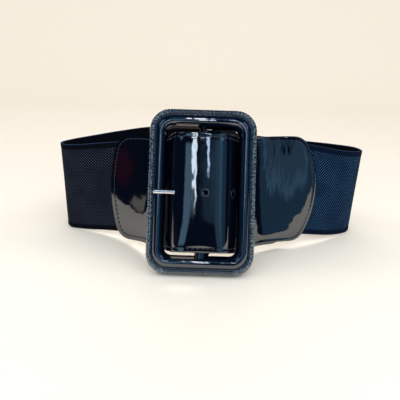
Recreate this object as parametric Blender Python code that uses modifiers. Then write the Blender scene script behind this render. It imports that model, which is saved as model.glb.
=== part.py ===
"""Wide elastic stretch belt, fastened at a covered buckle and standing on its lower edge as a closed loop.

+X runs along the belt to the right of the buckle, +Y from the buckle to the back of the loop and +Z up. The origin is
under the middle of the belt's box, on the surface that it stands on.

One line, the band line, runs right round the loop along the middle of the leather strap's wall. It starts at the
buckle's middle, goes to the right, round the back and returns from the left. Every soft piece is an upright wall
beside that line: its distance inwards, its height and its ends are given, and the wall gets its thickness from a
Solidify modifier.
"""

import math

import bmesh
import bpy
import numpy as np
from mathutils import Matrix, Vector

# Loop, in metres and degrees: how far its sides lie from the buckle's middle, and its back from the buckle
LOOP_RIGHT = 0.139
LOOP_LEFT = 0.1216
LOOP_DEPTH = 0.142
BUCKLE_LEAN = 24.0

# Woven elastic
ELASTIC_HEIGHT = 0.075
ELASTIC_WALL = 0.0019

# Leather strap with the holes, which stands proud of the elastic above and below
STRAP_PROUD = 0.005
STRAP_WALL = 0.0026
STRAP_LEFT_LENGTH = 0.0965
STRAP_RIGHT_LENGTH = 0.1110
STRAP_LEFT_END_RADIUS = 0.125
STRAP_TIP_END_RADIUS = 0.078
STRAP_CORNER_RADIUS = 0.0135
STRAP_EDGE_ROUNDING = 0.0006
HOLE_DIAMETER = 0.0038
HOLE_SPACING = 0.0220
HOLE_COUNT = 3

# Leather tab that holds the buckle, as tall as the strap
TAB_WALL = 0.0013
TAB_LENGTH = 0.087
TAB_DROP = 0.0016
TAB_CORNER_RADIUS = 0.009
TAB_END_RADIUS = 0.3
SEAM_OVERLAP = 0.022
SLOT_MARGIN = 0.001

# Covered frame, whose window is taller than the strap by a margin above and below
FRAME_WIDTH = 0.078
FRAME_SIDE = 0.0125
FRAME_END = 0.0136
FRAME_RISE = 0.0060
FRAME_BACK = 0.0050
FRAME_CORNER_RADIUS = 0.0150
WINDOW_CORNER_RADIUS = 0.0058
WINDOW_MARGIN = 0.0039

# Bar and prong
BAR_DIAMETER = 0.005
BAR_SOCKET_DEPTH = 0.004
PRONG_DIAMETER = 0.0034
PRONG_REST = 0.008
PRONG_LOOP_TURN = 300.0
PRONG_DROP = 0.0012

# The strap's bulge over the bar: how far it stands in front of the frame and below the window's middle
BULGE_PROUD = 0.0050
BULGE_DROP = 0.0010

CLEARANCE = 0.0003

STRAP_HEIGHT = ELASTIC_HEIGHT + 2 * STRAP_PROUD
FRAME_HEIGHT = STRAP_HEIGHT + 2 * (WINDOW_MARGIN + FRAME_END)
WINDOW_HALF_WIDTH = FRAME_WIDTH / 2 - FRAME_SIDE

# How finely the walls follow the band line, and how many rows they have from bottom to top
LEAST_SPACING = 0.00005
MOST_SPACING = 0.006
MOST_TURN = 6.0
LINE_STEPS = 24
WALL_ROWS = 8
CORNER_STEPS = 6
END_ARC_SHARES = (0.12, 0.4, 0.7, 1.0)
ROUND_SIDES = 16
TURN_STEPS = 10
SEARCH_STEPS = 400
SMOOTH_ANGLE = 40.0
ROUNDED_ANGLE = 60.0

# The strap's way over the bar and out behind the frame's sides, left to right
# across: share of half the window's width; level: share from the frame's back face (0) to the bulge's rise (1)
BULGE_ROWS = (
    (-1.320, -0.80),
    (-1.135, -0.49),
    (-1.005, -0.19),
    (-0.912, 0.11),
    (-0.840, 0.40),
    (-0.755, 0.72),
    (-0.655, 0.90),
    (-0.450, 0.99),
    (-0.200, 1.00),
    (0.000, 0.99),
    (0.240, 0.97),
    (0.450, 0.93),
    (0.610, 0.84),
    (0.740, 0.65),
    (0.840, 0.39),
    (0.920, 0.13),
    (1.010, -0.13),
    (1.140, -0.42),
    (1.340, -0.74),
)

# The band in front, from behind the frame's side to the loop's side
# beyond: share of the way from the frame's side to the loop's; back: share of LOOP_DEPTH; lift: share of the height
# that the buckle's middle has over the elastic's; lean: share of BUCKLE_LEAN
FRONT_RIGHT_ROWS = (
    (0.060, 0.178, 0.60, 0.90),
    (0.200, 0.208, 0.60, 0.72),
    (0.373, 0.230, 0.57, 0.50),
    (0.564, 0.256, 0.40, 0.30),
    (0.760, 0.302, 0.17, 0.13),
    (0.921, 0.364, 0.04, 0.03),
)
FRONT_LEFT_ROWS = (
    (0.051, 0.178, 0.52, 0.88),
    (0.190, 0.224, 0.43, 0.68),
    (0.360, 0.260, 0.32, 0.46),
    (0.545, 0.284, 0.20, 0.26),
    (0.745, 0.302, 0.08, 0.10),
    (0.930, 0.336, 0.01, 0.01),
)

# The upright elastic round the back, right to left
# across: share of LOOP_RIGHT or LOOP_LEFT; back: share of LOOP_DEPTH
BACK_ROWS = (
    (1.000, 0.440),
    (0.976, 0.530),
    (0.861, 0.600),
    (0.659, 0.672),
    (0.394, 0.770),
    (0.110, 0.890),
    (-0.209, 0.985),
    (-0.450, 0.955),
    (-0.659, 0.800),
    (-0.827, 0.632),
    (-0.952, 0.500),
    (-1.000, 0.410),
)

# The frame's section, from its back round the outside to the window
# inwards: share of the member's width; level: metres from the middle plane as a share of FRAME_RISE in front
# and of FRAME_BACK behind
FRAME_SECTION = (
    (0.30, -1.00),
    (0.12, -0.92),
    (0.02, -0.55),
    (0.00, -0.05),
    (0.04, 0.36),
    (0.14, 0.56),
    (0.24, 0.58),
    (0.32, 0.48),
    (0.40, 0.66),
    (0.52, 0.92),
    (0.64, 1.00),
    (0.76, 0.92),
    (0.86, 0.66),
    (0.95, 0.30),
    (1.00, -0.10),
    (0.99, -0.70),
    (0.88, -1.00),
)


def material(name, colour, roughness, metallic=0.0, coat=0.0):
    made = bpy.data.materials.new(name)
    made.use_nodes = True
    shader = made.node_tree.nodes["Principled BSDF"]
    shader.inputs["Base Color"].default_value = (*colour, 1.0)
    shader.inputs["Roughness"].default_value = roughness
    shader.inputs["Metallic"].default_value = metallic
    shader.inputs["Coat Weight"].default_value = coat
    return made


def collection(name):
    made = bpy.data.collections.new(name)
    bpy.context.scene.collection.children.link(made)
    return made


def mesh_object(name, mesh_tools, look, group):
    """An object from a bmesh, shaded smooth up to its sharp edges."""
    mesh = bpy.data.meshes.new(name)
    mesh_tools.to_mesh(mesh)
    mesh_tools.free()
    mesh.shade_smooth()
    mesh.set_sharp_from_angle(angle=math.radians(SMOOTH_ANGLE))
    if look:
        mesh.materials.append(look)
    made = bpy.data.objects.new(name, mesh)
    group.objects.link(made)
    return made


def section_level(share):
    return share * (FRAME_RISE if share > 0 else FRAME_BACK)


def buckle_height():
    """How high the frame's middle is when its bottom member touches the surface."""
    lean = math.radians(BUCKLE_LEAN)
    reach = [
        (FRAME_HEIGHT / 2 - inwards * FRAME_END) * math.cos(lean) - section_level(level) * math.sin(lean)
        for inwards, level in FRAME_SECTION
    ]
    return max(reach)


def buckle_matrix():
    """Buckle space to world space: X across, Y up the leaning frame, Z out of its front."""
    lean = math.radians(BUCKLE_LEAN)
    up = Vector((0, math.sin(lean), math.cos(lean)))
    out = Vector((0, -math.cos(lean), math.sin(lean)))
    turned = Matrix((Vector((1, 0, 0)), up, out)).transposed().to_4x4()
    return Matrix.Translation((0, 0, buckle_height())) @ turned


def smooth_loop(rows, steps):
    """Catmull-Rom points through a closed list of rows, whose first three columns are a place."""
    rows = np.asarray(rows, float)
    count = len(rows)
    found = []
    for i in range(count):
        before, start, end, after = (rows[(i + k) % count] for k in (-1, 0, 1, 2))
        gaps = [math.sqrt(np.linalg.norm(b[:3] - a[:3])) for a, b in ((before, start), (start, end), (end, after))]
        slope_in = (start - before) / gaps[0] - (end - before) / (gaps[0] + gaps[1]) + (end - start) / gaps[1]
        slope_out = (end - start) / gaps[1] - (after - start) / (gaps[1] + gaps[2]) + (after - end) / gaps[2]
        slope_in, slope_out = slope_in * gaps[1], slope_out * gaps[1]
        for step in range(steps):
            t = step / steps
            found.append(
                (2 * t**3 - 3 * t**2 + 1) * start
                + (t**3 - 2 * t**2 + t) * slope_in
                + (-2 * t**3 + 3 * t**2) * end
                + (t**3 - t**2) * slope_out
            )
    return np.array(found)


def bulge_rows():
    """The strap over the bar, as places and a whole lean."""
    place = buckle_matrix()
    low = -FRAME_BACK
    high = FRAME_RISE + BULGE_PROUD
    rows = []
    for across, level in BULGE_ROWS:
        depth = low + level * (high - low) - STRAP_WALL / 2
        rows.append((*(place @ Vector((across * WINDOW_HALF_WIDTH, -BULGE_DROP, depth))), 1.0))
    return rows


def front_rows(rows, side, loop_side):
    """The band between the buckle and one side of the loop."""
    base = ELASTIC_HEIGHT / 2
    frame_side = FRAME_WIDTH / 2
    return [
        (
            side * (frame_side + beyond * (loop_side - frame_side)),
            back * LOOP_DEPTH,
            base + lift * (buckle_height() - base),
            lean,
        )
        for beyond, back, lift, lean in rows
    ]


def back_rows():
    return [
        (across * (LOOP_RIGHT if across > 0 else LOOP_LEFT), back * LOOP_DEPTH, ELASTIC_HEIGHT / 2, 0.0)
        for across, back in BACK_ROWS
    ]


class BandLine:
    """The band line: a smooth closed line with the direction that its walls rise in, by length from the buckle."""

    def __init__(self):
        bulge = bulge_rows()
        middle = next(i for i, row in enumerate(BULGE_ROWS) if row[0] == 0)
        rows = bulge[middle:] + front_rows(FRONT_RIGHT_ROWS, 1, LOOP_RIGHT) + back_rows()
        rows += front_rows(FRONT_LEFT_ROWS, -1, LOOP_LEFT)[::-1] + bulge[:middle]
        points = smooth_loop(rows, LINE_STEPS)
        points[:, 2] = np.maximum(points[:, 2], ELASTIC_HEIGHT / 2)
        points[:, 3] = np.radians(BUCKLE_LEAN) * np.clip(points[:, 3], 0, 1)
        closed = np.vstack([points, points[:1]])
        steps = np.linalg.norm(np.diff(closed[:, :3], axis=0), axis=1)
        lengths = np.concatenate([[0], np.cumsum(steps)])
        self.total = float(lengths[-1])
        rises = np.column_stack([np.zeros(len(points)), np.sin(points[:, 3]), np.cos(points[:, 3])])
        ahead = np.roll(points[:, :3], -1, axis=0) - np.roll(points[:, :3], 1, axis=0)
        normals = np.cross(ahead, rises)
        normals /= np.linalg.norm(normals, axis=1)[:, None]
        kept = [0]
        for i in range(1, len(points)):
            turned = math.degrees(math.acos(min(1.0, float(normals[kept[-1]] @ normals[i]))))
            if lengths[i] - lengths[kept[-1]] > MOST_SPACING or turned > MOST_TURN:
                kept.append(i)
        self.lengths = lengths[kept]
        self.rows = np.hstack([points[kept, :3], rises[kept], normals[kept]])

    def at(self, length):
        """The place, rising direction and outward normal at a length from the buckle's middle."""
        row = [np.interp(length % self.total, self.lengths, column, period=self.total) for column in self.rows.T]
        return Vector(row[:3]), Vector(row[3:6]).normalized(), Vector(row[6:]).normalized()

    def stations(self, start, stop, extra=()):
        """The line's own bends from start to stop, with some lengths that must be there."""
        turns = [lap * self.total + length for lap in (-1, 0, 1) for length in self.lengths]
        found = sorted([start, stop, *extra, *(length for length in turns if start < length < stop)])
        apart = [found[0]] + [b for a, b in zip(found, found[1:]) if b - a > LEAST_SPACING]
        return apart


def end_outline(height, end_radius, corner_radius):
    """(distance from the end, half height) pairs of a rounded end: a shallow arc met by two corner arcs."""
    half = height / 2
    centre = end_radius - math.sqrt((end_radius - corner_radius) ** 2 - (half - corner_radius) ** 2)
    widest = math.asin((half - corner_radius) / (end_radius - corner_radius))
    pairs = []
    for share in END_ARC_SHARES:
        angle = share * widest
        pairs.append((end_radius * (1 - math.cos(angle)), end_radius * math.sin(angle)))
    for step in range(1, CORNER_STEPS + 1):
        angle = widest + (math.pi / 2 - widest) * step / CORNER_STEPS
        pairs.append(
            (
                centre - corner_radius * math.cos(angle),
                half - corner_radius + corner_radius * math.sin(angle),
            )
        )
    return pairs


def half_height_at(distance, height, outline):
    """Half the wall's height at a distance from its rounded end."""
    return float(np.interp(distance, [d for d, _ in outline], [h for _, h in outline], right=height / 2))


def wall(name, sections, thickness, look, group, rounding=0.0):
    """A closed wall round an open surface, which runs through pairs of lower and upper points."""
    tools = bmesh.new()
    columns = [[tools.verts.new(low.lerp(high, i / WALL_ROWS)) for i in range(WALL_ROWS + 1)] for low, high in sections]
    for column, following in zip(columns, columns[1:]):
        for i in range(WALL_ROWS):
            tools.faces.new((column[i], following[i], following[i + 1], column[i + 1]))
    made = mesh_object(name, tools, look, group)
    solid = made.modifiers.new("Wall", "SOLIDIFY")
    solid.thickness = thickness
    solid.offset = 0
    solid.use_even_offset = True
    if rounding:
        edge = made.modifiers.new("Edge", "BEVEL")
        edge.width = rounding
        edge.segments = 1
        edge.limit_method = "ANGLE"
        edge.angle_limit = math.radians(ROUNDED_ANGLE)
    return made


def cut(target, cutter):
    hole = target.modifiers.new("Cut " + cutter.name, "BOOLEAN")
    hole.operation = "DIFFERENCE"
    hole.solver = "EXACT"
    hole.object = cutter


def guide(made):
    made.hide_render = True
    made.display_type = "WIRE"
    return made


def rod_between(name, start, end, diameter, look, group):
    """A plain round rod between two places."""
    tools = bmesh.new()
    along = end - start
    bmesh.ops.create_cone(
        tools,
        cap_ends=True,
        segments=ROUND_SIDES,
        radius1=diameter / 2,
        radius2=diameter / 2,
        depth=along.length,
    )
    made = mesh_object(name, tools, look, group)
    turn = along.to_track_quat("Z", "Y").to_matrix().to_4x4()
    made.matrix_world = Matrix.Translation((start + end) / 2) @ turn
    return made


def elastic_band(line, look, group):
    """The woven elastic, from inside the tab on the right round the back to behind the strap's sewn end."""
    start = TAB_LENGTH - SEAM_OVERLAP
    stop = line.total - STRAP_LEFT_LENGTH + SEAM_OVERLAP
    inside_left = STRAP_WALL / 2 + CLEARANCE + ELASTIC_WALL / 2
    inside_right = inside_left + TAB_WALL + CLEARANCE
    sections = []
    for length in line.stations(start, stop):
        share = (length - start) / (stop - start)
        place, rise, normal = line.at(length)
        centre = place - normal * (inside_right + (inside_left - inside_right) * share)
        half = ELASTIC_HEIGHT / 2
        sections.append((centre - rise * half, centre + rise * half))
    return wall("elastic_band", sections, ELASTIC_WALL, look, group)


def prong_axis():
    """The prong's straight stretch in buckle space: its start over the bar and its tip past the frame's crest."""
    over_bar = BAR_DIAMETER / 2 + CLEARANCE + PRONG_DIAMETER / 2
    over_crest = FRAME_RISE + 2 * CLEARANCE + PRONG_DIAMETER / 2
    crest = max(FRAME_SECTION, key=lambda row: row[1])[0]
    to_crest = FRAME_WIDTH / 2 - crest * FRAME_SIDE
    reach = WINDOW_HALF_WIDTH + PRONG_REST
    tip_level = over_bar + (over_crest - over_bar) * reach / to_crest
    return Vector((0, -PRONG_DROP, over_bar)), Vector((-reach, -PRONG_DROP, tip_level))


def prong_hole_length(line):
    """The length along the band line at which the prong comes through the strap."""
    start, tip = prong_axis()
    to_buckle = buckle_matrix().inverted()
    lengths = np.linspace(-2 * WINDOW_HALF_WIDTH, -BAR_DIAMETER, SEARCH_STEPS)
    places = [to_buckle @ line.at(length)[0] for length in lengths]
    misses = [abs(place.z - (start.z + (tip.z - start.z) * place.x / tip.x)) for place in places]
    return float(lengths[int(np.argmin(misses))])


def strap(line, look, group, cutters):
    """The leather strap: sewn end on the left, over the bar inside the frame, rounded tip on the right."""
    left_end = end_outline(STRAP_HEIGHT, STRAP_LEFT_END_RADIUS, STRAP_CORNER_RADIUS)
    tip_end = end_outline(STRAP_HEIGHT, STRAP_TIP_END_RADIUS, STRAP_CORNER_RADIUS)
    first = -STRAP_LEFT_LENGTH + left_end[0][0]
    last = STRAP_RIGHT_LENGTH - tip_end[0][0]
    extra = [-STRAP_LEFT_LENGTH + d for d, _ in left_end] + [STRAP_RIGHT_LENGTH - d for d, _ in tip_end]
    sections = []
    for length in line.stations(first, last, extra):
        place, rise, _ = line.at(length)
        half = min(
            half_height_at(length + STRAP_LEFT_LENGTH, STRAP_HEIGHT, left_end),
            half_height_at(STRAP_RIGHT_LENGTH - length, STRAP_HEIGHT, tip_end),
        )
        sections.append((place - rise * half, place + rise * half))
    made = wall("strap", sections, STRAP_WALL, look, group, STRAP_EDGE_ROUNDING)
    hole = prong_hole_length(line)
    start, tip = prong_axis()
    turned = buckle_matrix().to_3x3()
    for number in range(HOLE_COUNT):
        place, _, normal = line.at(hole + number * HOLE_SPACING)
        along = (turned @ (tip - start)).normalized() if number == 0 else normal
        wide = PRONG_DIAMETER + 2 * CLEARANCE if number == 0 else HOLE_DIAMETER
        reach = along * STRAP_WALL * 2
        cutter = rod_between(f"hole_{number + 1}", place - reach, place + reach, wide, None, cutters)
        cut(made, guide(cutter))
    return made


def tangent_angle(place, radius, side):
    """The angle on a circle round the bar at which a straight run from a place meets it, on one side."""
    across, out = place.x, place.z
    return math.atan2(out, across) + side * math.acos(radius / math.hypot(across, out))


def buckle_tab(line, look, group, cutters):
    """The leather tab: folded round the bar with the elastic's end between its two layers, slotted for the prong."""
    matrix = buckle_matrix()
    to_buckle = matrix.inverted()
    round_bar = BAR_DIAMETER / 2 + CLEARANCE + TAB_WALL / 2
    front_inside = STRAP_WALL / 2 + CLEARANCE + TAB_WALL / 2
    back_inside = front_inside + TAB_WALL + 2 * CLEARANCE + ELASTIC_WALL
    end = end_outline(STRAP_HEIGHT, TAB_END_RADIUS, TAB_CORNER_RADIUS)
    behind = (FRAME_WIDTH - FRAME_SIDE) / 2
    lengths = np.linspace(0, TAB_LENGTH, SEARCH_STEPS)
    first = float(next(v for v in lengths if (to_buckle @ line.at(v)[0]).x > behind))
    extra = [TAB_LENGTH - d for d, _ in end if TAB_LENGTH - d > first]
    stations = line.stations(first, TAB_LENGTH - end[0][0], extra)

    def layer(inside):
        rows = []
        for length in stations:
            place, up, normal = line.at(length)
            half = half_height_at(TAB_LENGTH - length, STRAP_HEIGHT, end)
            centre = place - normal * inside - up * TAB_DROP
            rows.append((centre - up * half, centre + up * half))
        return rows

    front, back = layer(front_inside), layer(back_inside)
    middle = (-TAB_DROP - STRAP_HEIGHT / 2, -TAB_DROP + STRAP_HEIGHT / 2)
    from_front = tangent_angle(to_buckle @ front[0][0].lerp(front[0][1], 0.5), round_bar, 1)
    to_back = tangent_angle(to_buckle @ back[0][0].lerp(back[0][1], 0.5), round_bar, -1) + 2 * math.pi
    turns = []
    for step in range(TURN_STEPS + 1):
        angle = from_front + (to_back - from_front) * step / TURN_STEPS
        turns.append(
            [matrix @ Vector((round_bar * math.cos(angle), level, round_bar * math.sin(angle))) for level in middle]
        )
    made = wall("buckle_tab", front[::-1] + turns + back, TAB_WALL, look, group)
    tools = bmesh.new()
    bmesh.ops.create_cube(tools, size=1)
    slot_width = BAR_DIAMETER + 2 * (PRONG_DIAMETER + CLEARANCE + SLOT_MARGIN)
    slot_height = PRONG_DIAMETER + 2 * SLOT_MARGIN
    bmesh.ops.scale(tools, vec=(slot_width, slot_height, 2 * slot_width), verts=tools.verts)
    slot = mesh_object("prong_slot", tools, None, cutters)
    slot.matrix_world = matrix @ Matrix.Translation((0, -PRONG_DROP, 0))
    cut(made, guide(slot))
    return made


def rounded_rectangle(width, height, radius, level):
    """A rounded rectangle in buckle space, as places round it."""
    found = []
    for quarter, (side, end) in enumerate(((1, 1), (-1, 1), (-1, -1), (1, -1))):
        centre = Vector((side * (width / 2 - radius), end * (height / 2 - radius), level))
        for step in range(CORNER_STEPS + 1):
            angle = math.pi / 2 * (quarter + step / CORNER_STEPS)
            found.append(centre + Vector((math.cos(angle), math.sin(angle), 0)) * radius)
    return found


def buckle_frame(look, group, cutters):
    """The covered frame: a stepped section lofted round four corners that get tighter towards the window."""
    tools = bmesh.new()
    rings = []
    for inwards, level in FRAME_SECTION:
        ring = rounded_rectangle(
            FRAME_WIDTH - 2 * inwards * FRAME_SIDE,
            FRAME_HEIGHT - 2 * inwards * FRAME_END,
            FRAME_CORNER_RADIUS + inwards * (WINDOW_CORNER_RADIUS - FRAME_CORNER_RADIUS),
            section_level(level),
        )
        rings.append([tools.verts.new(place) for place in ring])
    for ring, inner in zip(rings, rings[1:] + rings[:1]):
        for i in range(len(ring)):
            j = (i + 1) % len(ring)
            tools.faces.new((ring[i], ring[j], inner[j], inner[i]))
    bmesh.ops.recalc_face_normals(tools, faces=tools.faces)
    made = mesh_object("buckle_frame", tools, look, group)
    made.matrix_world = buckle_matrix()
    reach = bar_reach() + CLEARANCE
    socket = rod_between(
        "bar_socket", Vector((0, -reach, 0)), Vector((0, reach, 0)), BAR_DIAMETER + 2 * CLEARANCE, None, cutters
    )
    socket.matrix_world = buckle_matrix() @ socket.matrix_world
    cut(made, guide(socket))
    return made


def bar_reach():
    """Half the bar's length: half the window and the depth of one socket."""
    return FRAME_HEIGHT / 2 - FRAME_END + BAR_SOCKET_DEPTH


def centre_bar(look, group):
    """The bar across the window, hidden behind the strap, whose ends sit in the frame."""
    reach = bar_reach()
    made = rod_between("centre_bar", Vector((0, -reach, 0)), Vector((0, reach, 0)), BAR_DIAMETER, look, group)
    made.matrix_world = buckle_matrix() @ made.matrix_world
    return made


def prong(look, group):
    """The prong: a rod bent into a loop round the bar, whose straight end lies on the frame's left side."""
    start, tip = prong_axis()
    loop_radius = start.z
    places = [tip, start]
    for step in range(1, TURN_STEPS + 1):
        angle = math.radians(90 - PRONG_LOOP_TURN * step / TURN_STEPS)
        places.append(Vector((loop_radius * math.cos(angle), -PRONG_DROP, loop_radius * math.sin(angle))))
    curve = bpy.data.curves.new("prong", "CURVE")
    curve.dimensions = "3D"
    curve.bevel_depth = PRONG_DIAMETER / 2
    curve.bevel_resolution = 3
    curve.use_fill_caps = True
    spline = curve.splines.new("POLY")
    spline.points.add(len(places) - 1)
    for point, place in zip(spline.points, places):
        point.co = (*place, 1)
    curve.materials.append(look)
    made = bpy.data.objects.new("prong", curve)
    group.objects.link(made)
    made.matrix_world = buckle_matrix()
    return made


def floor_middle(objects):
    """The middle of the floor of the box round all the objects."""
    bpy.context.view_layer.update()
    graph = bpy.context.evaluated_depsgraph_get()
    corners = []
    for made in objects:
        evaluated = made.evaluated_get(graph)
        mesh = evaluated.to_mesh()
        corners += [evaluated.matrix_world @ vertex.co for vertex in mesh.vertices]
        evaluated.to_mesh_clear()
    low, high = np.min(corners, axis=0), np.max(corners, axis=0)
    return Vector(((low[0] + high[0]) / 2, (low[1] + high[1]) / 2, low[2]))


def main():
    for old in list(bpy.data.objects):
        bpy.data.objects.remove(old)
    belt = collection("elastic_stretch_belt")
    cutters = collection("cutters")
    woven = material("woven elastic", (0.010, 0.015, 0.032), 0.8)
    patent = material("patent leather", (0.004, 0.008, 0.022), 0.12, coat=1.0)
    nickel = material("bright nickel", (0.80, 0.80, 0.82), 0.15, metallic=1.0)
    line = BandLine()
    parts = [
        elastic_band(line, woven, belt),
        strap(line, patent, belt, cutters),
        buckle_tab(line, patent, belt, cutters),
        buckle_frame(patent, belt, cutters),
        centre_bar(nickel, belt),
        prong(nickel, belt),
    ]
    move = Matrix.Translation(-floor_middle(parts))
    for made in parts + list(cutters.objects):
        made.matrix_world = move @ made.matrix_world


main()
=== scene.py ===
"""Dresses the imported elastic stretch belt: woven elastic, patent leather, covered buckle and nickel prong.

Lengths are in metres. The leather and elastic pieces are cut and finished lying flat, as a belt maker does,
and are then wrapped round the loop: in a flat piece X runs along the belt, Y up across it and Z outwards.
"""

import logging
import math
from collections.abc import Callable, Sequence
from dataclasses import dataclass, field
from enum import Enum

import bpy
import numpy as np
from mathutils import Matrix, Vector, noise


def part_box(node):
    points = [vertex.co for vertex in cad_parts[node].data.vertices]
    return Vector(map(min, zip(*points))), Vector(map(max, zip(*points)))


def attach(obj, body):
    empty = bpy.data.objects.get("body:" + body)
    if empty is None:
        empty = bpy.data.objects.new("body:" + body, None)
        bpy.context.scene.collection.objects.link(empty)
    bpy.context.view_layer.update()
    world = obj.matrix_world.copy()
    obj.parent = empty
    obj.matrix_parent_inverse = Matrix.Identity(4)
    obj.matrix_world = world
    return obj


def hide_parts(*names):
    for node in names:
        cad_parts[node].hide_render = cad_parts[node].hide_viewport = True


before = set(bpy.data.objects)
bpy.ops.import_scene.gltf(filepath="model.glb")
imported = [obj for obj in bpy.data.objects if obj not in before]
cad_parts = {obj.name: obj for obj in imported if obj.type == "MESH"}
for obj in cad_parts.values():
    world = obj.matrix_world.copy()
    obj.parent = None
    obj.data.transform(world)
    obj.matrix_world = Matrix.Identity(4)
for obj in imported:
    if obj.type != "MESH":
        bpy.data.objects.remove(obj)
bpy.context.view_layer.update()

LOG = logging.getLogger("belt")
MM = 0.001
Relief = Callable[[np.ndarray, np.ndarray], np.ndarray]
FLAT_UV = "flat"
# The point attribute that carries the painted highlight on the frame's pleats
CREASE_GLINTS = "creases"


class Face(Enum):
    """The two faces of a flat piece."""

    OUTER = 1
    INNER = -1


class Slot(Enum):
    """The record's material slots."""

    ELASTIC = "woven_elastic"
    PATENT = "patent_leather"
    FRAME = "covered_frame"
    NICKEL = "nickel"


class Reading(Enum):
    """What is read from a mesh's faces."""

    NORMAL = "normal"
    MIDDLE = "center"


def linear(hex_colour: str) -> tuple[float, float, float, float]:
    """Turns an sRGB hex colour into the linear colour that a shader takes.

    Args:
        hex_colour: six hex digits after a number sign.

    Returns:
        Linear red, green and blue, and an alpha of one.
    """
    shares = [int(hex_colour[i : i + 2], 16) / 255 for i in (1, 3, 5)]
    red, green, blue = (s / 12.92 if s <= 0.04045 else ((s + 0.055) / 1.055) ** 2.4 for s in shares)
    return red, green, blue, 1.0


def add_node(
    tree: bpy.types.NodeTree, kind: str, inputs: dict[str | int, object] | None = None, **settings: object
) -> bpy.types.Node:
    """Adds a node with its settings, its values and its links.

    Args:
        tree: the node tree that takes the node.
        kind: the node's type name.
        inputs: values and output sockets by input name or number.
        **settings: properties of the node.

    Returns:
        The new node.
    """
    node = tree.nodes.new(kind)
    for name, value in settings.items():
        setattr(node, name, value)
    for key, value in (inputs or {}).items():
        if isinstance(value, bpy.types.NodeSocket):
            tree.links.new(value, node.inputs[key])
        else:
            node.inputs[key].default_value = value
    return node


def new_material(name: str) -> tuple[bpy.types.Material, bpy.types.NodeTree, bpy.types.Node]:
    """Starts a material.

    Args:
        name: what the material is and how it was made.

    Returns:
        The material, its node tree and its Principled shader.
    """
    made = bpy.data.materials.new(name)
    made.use_nodes = True
    tree = made.node_tree
    return made, tree, tree.nodes["Principled BSDF"]


def set_shader(shader: bpy.types.Node, **values: object) -> None:
    """Sets values on a shader's own sockets.

    Args:
        shader: the Principled shader.
        **values: socket values by name, with underscores for spaces.
    """
    for name, value in values.items():
        shader.inputs[name.replace("_", " ")].default_value = value


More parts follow.
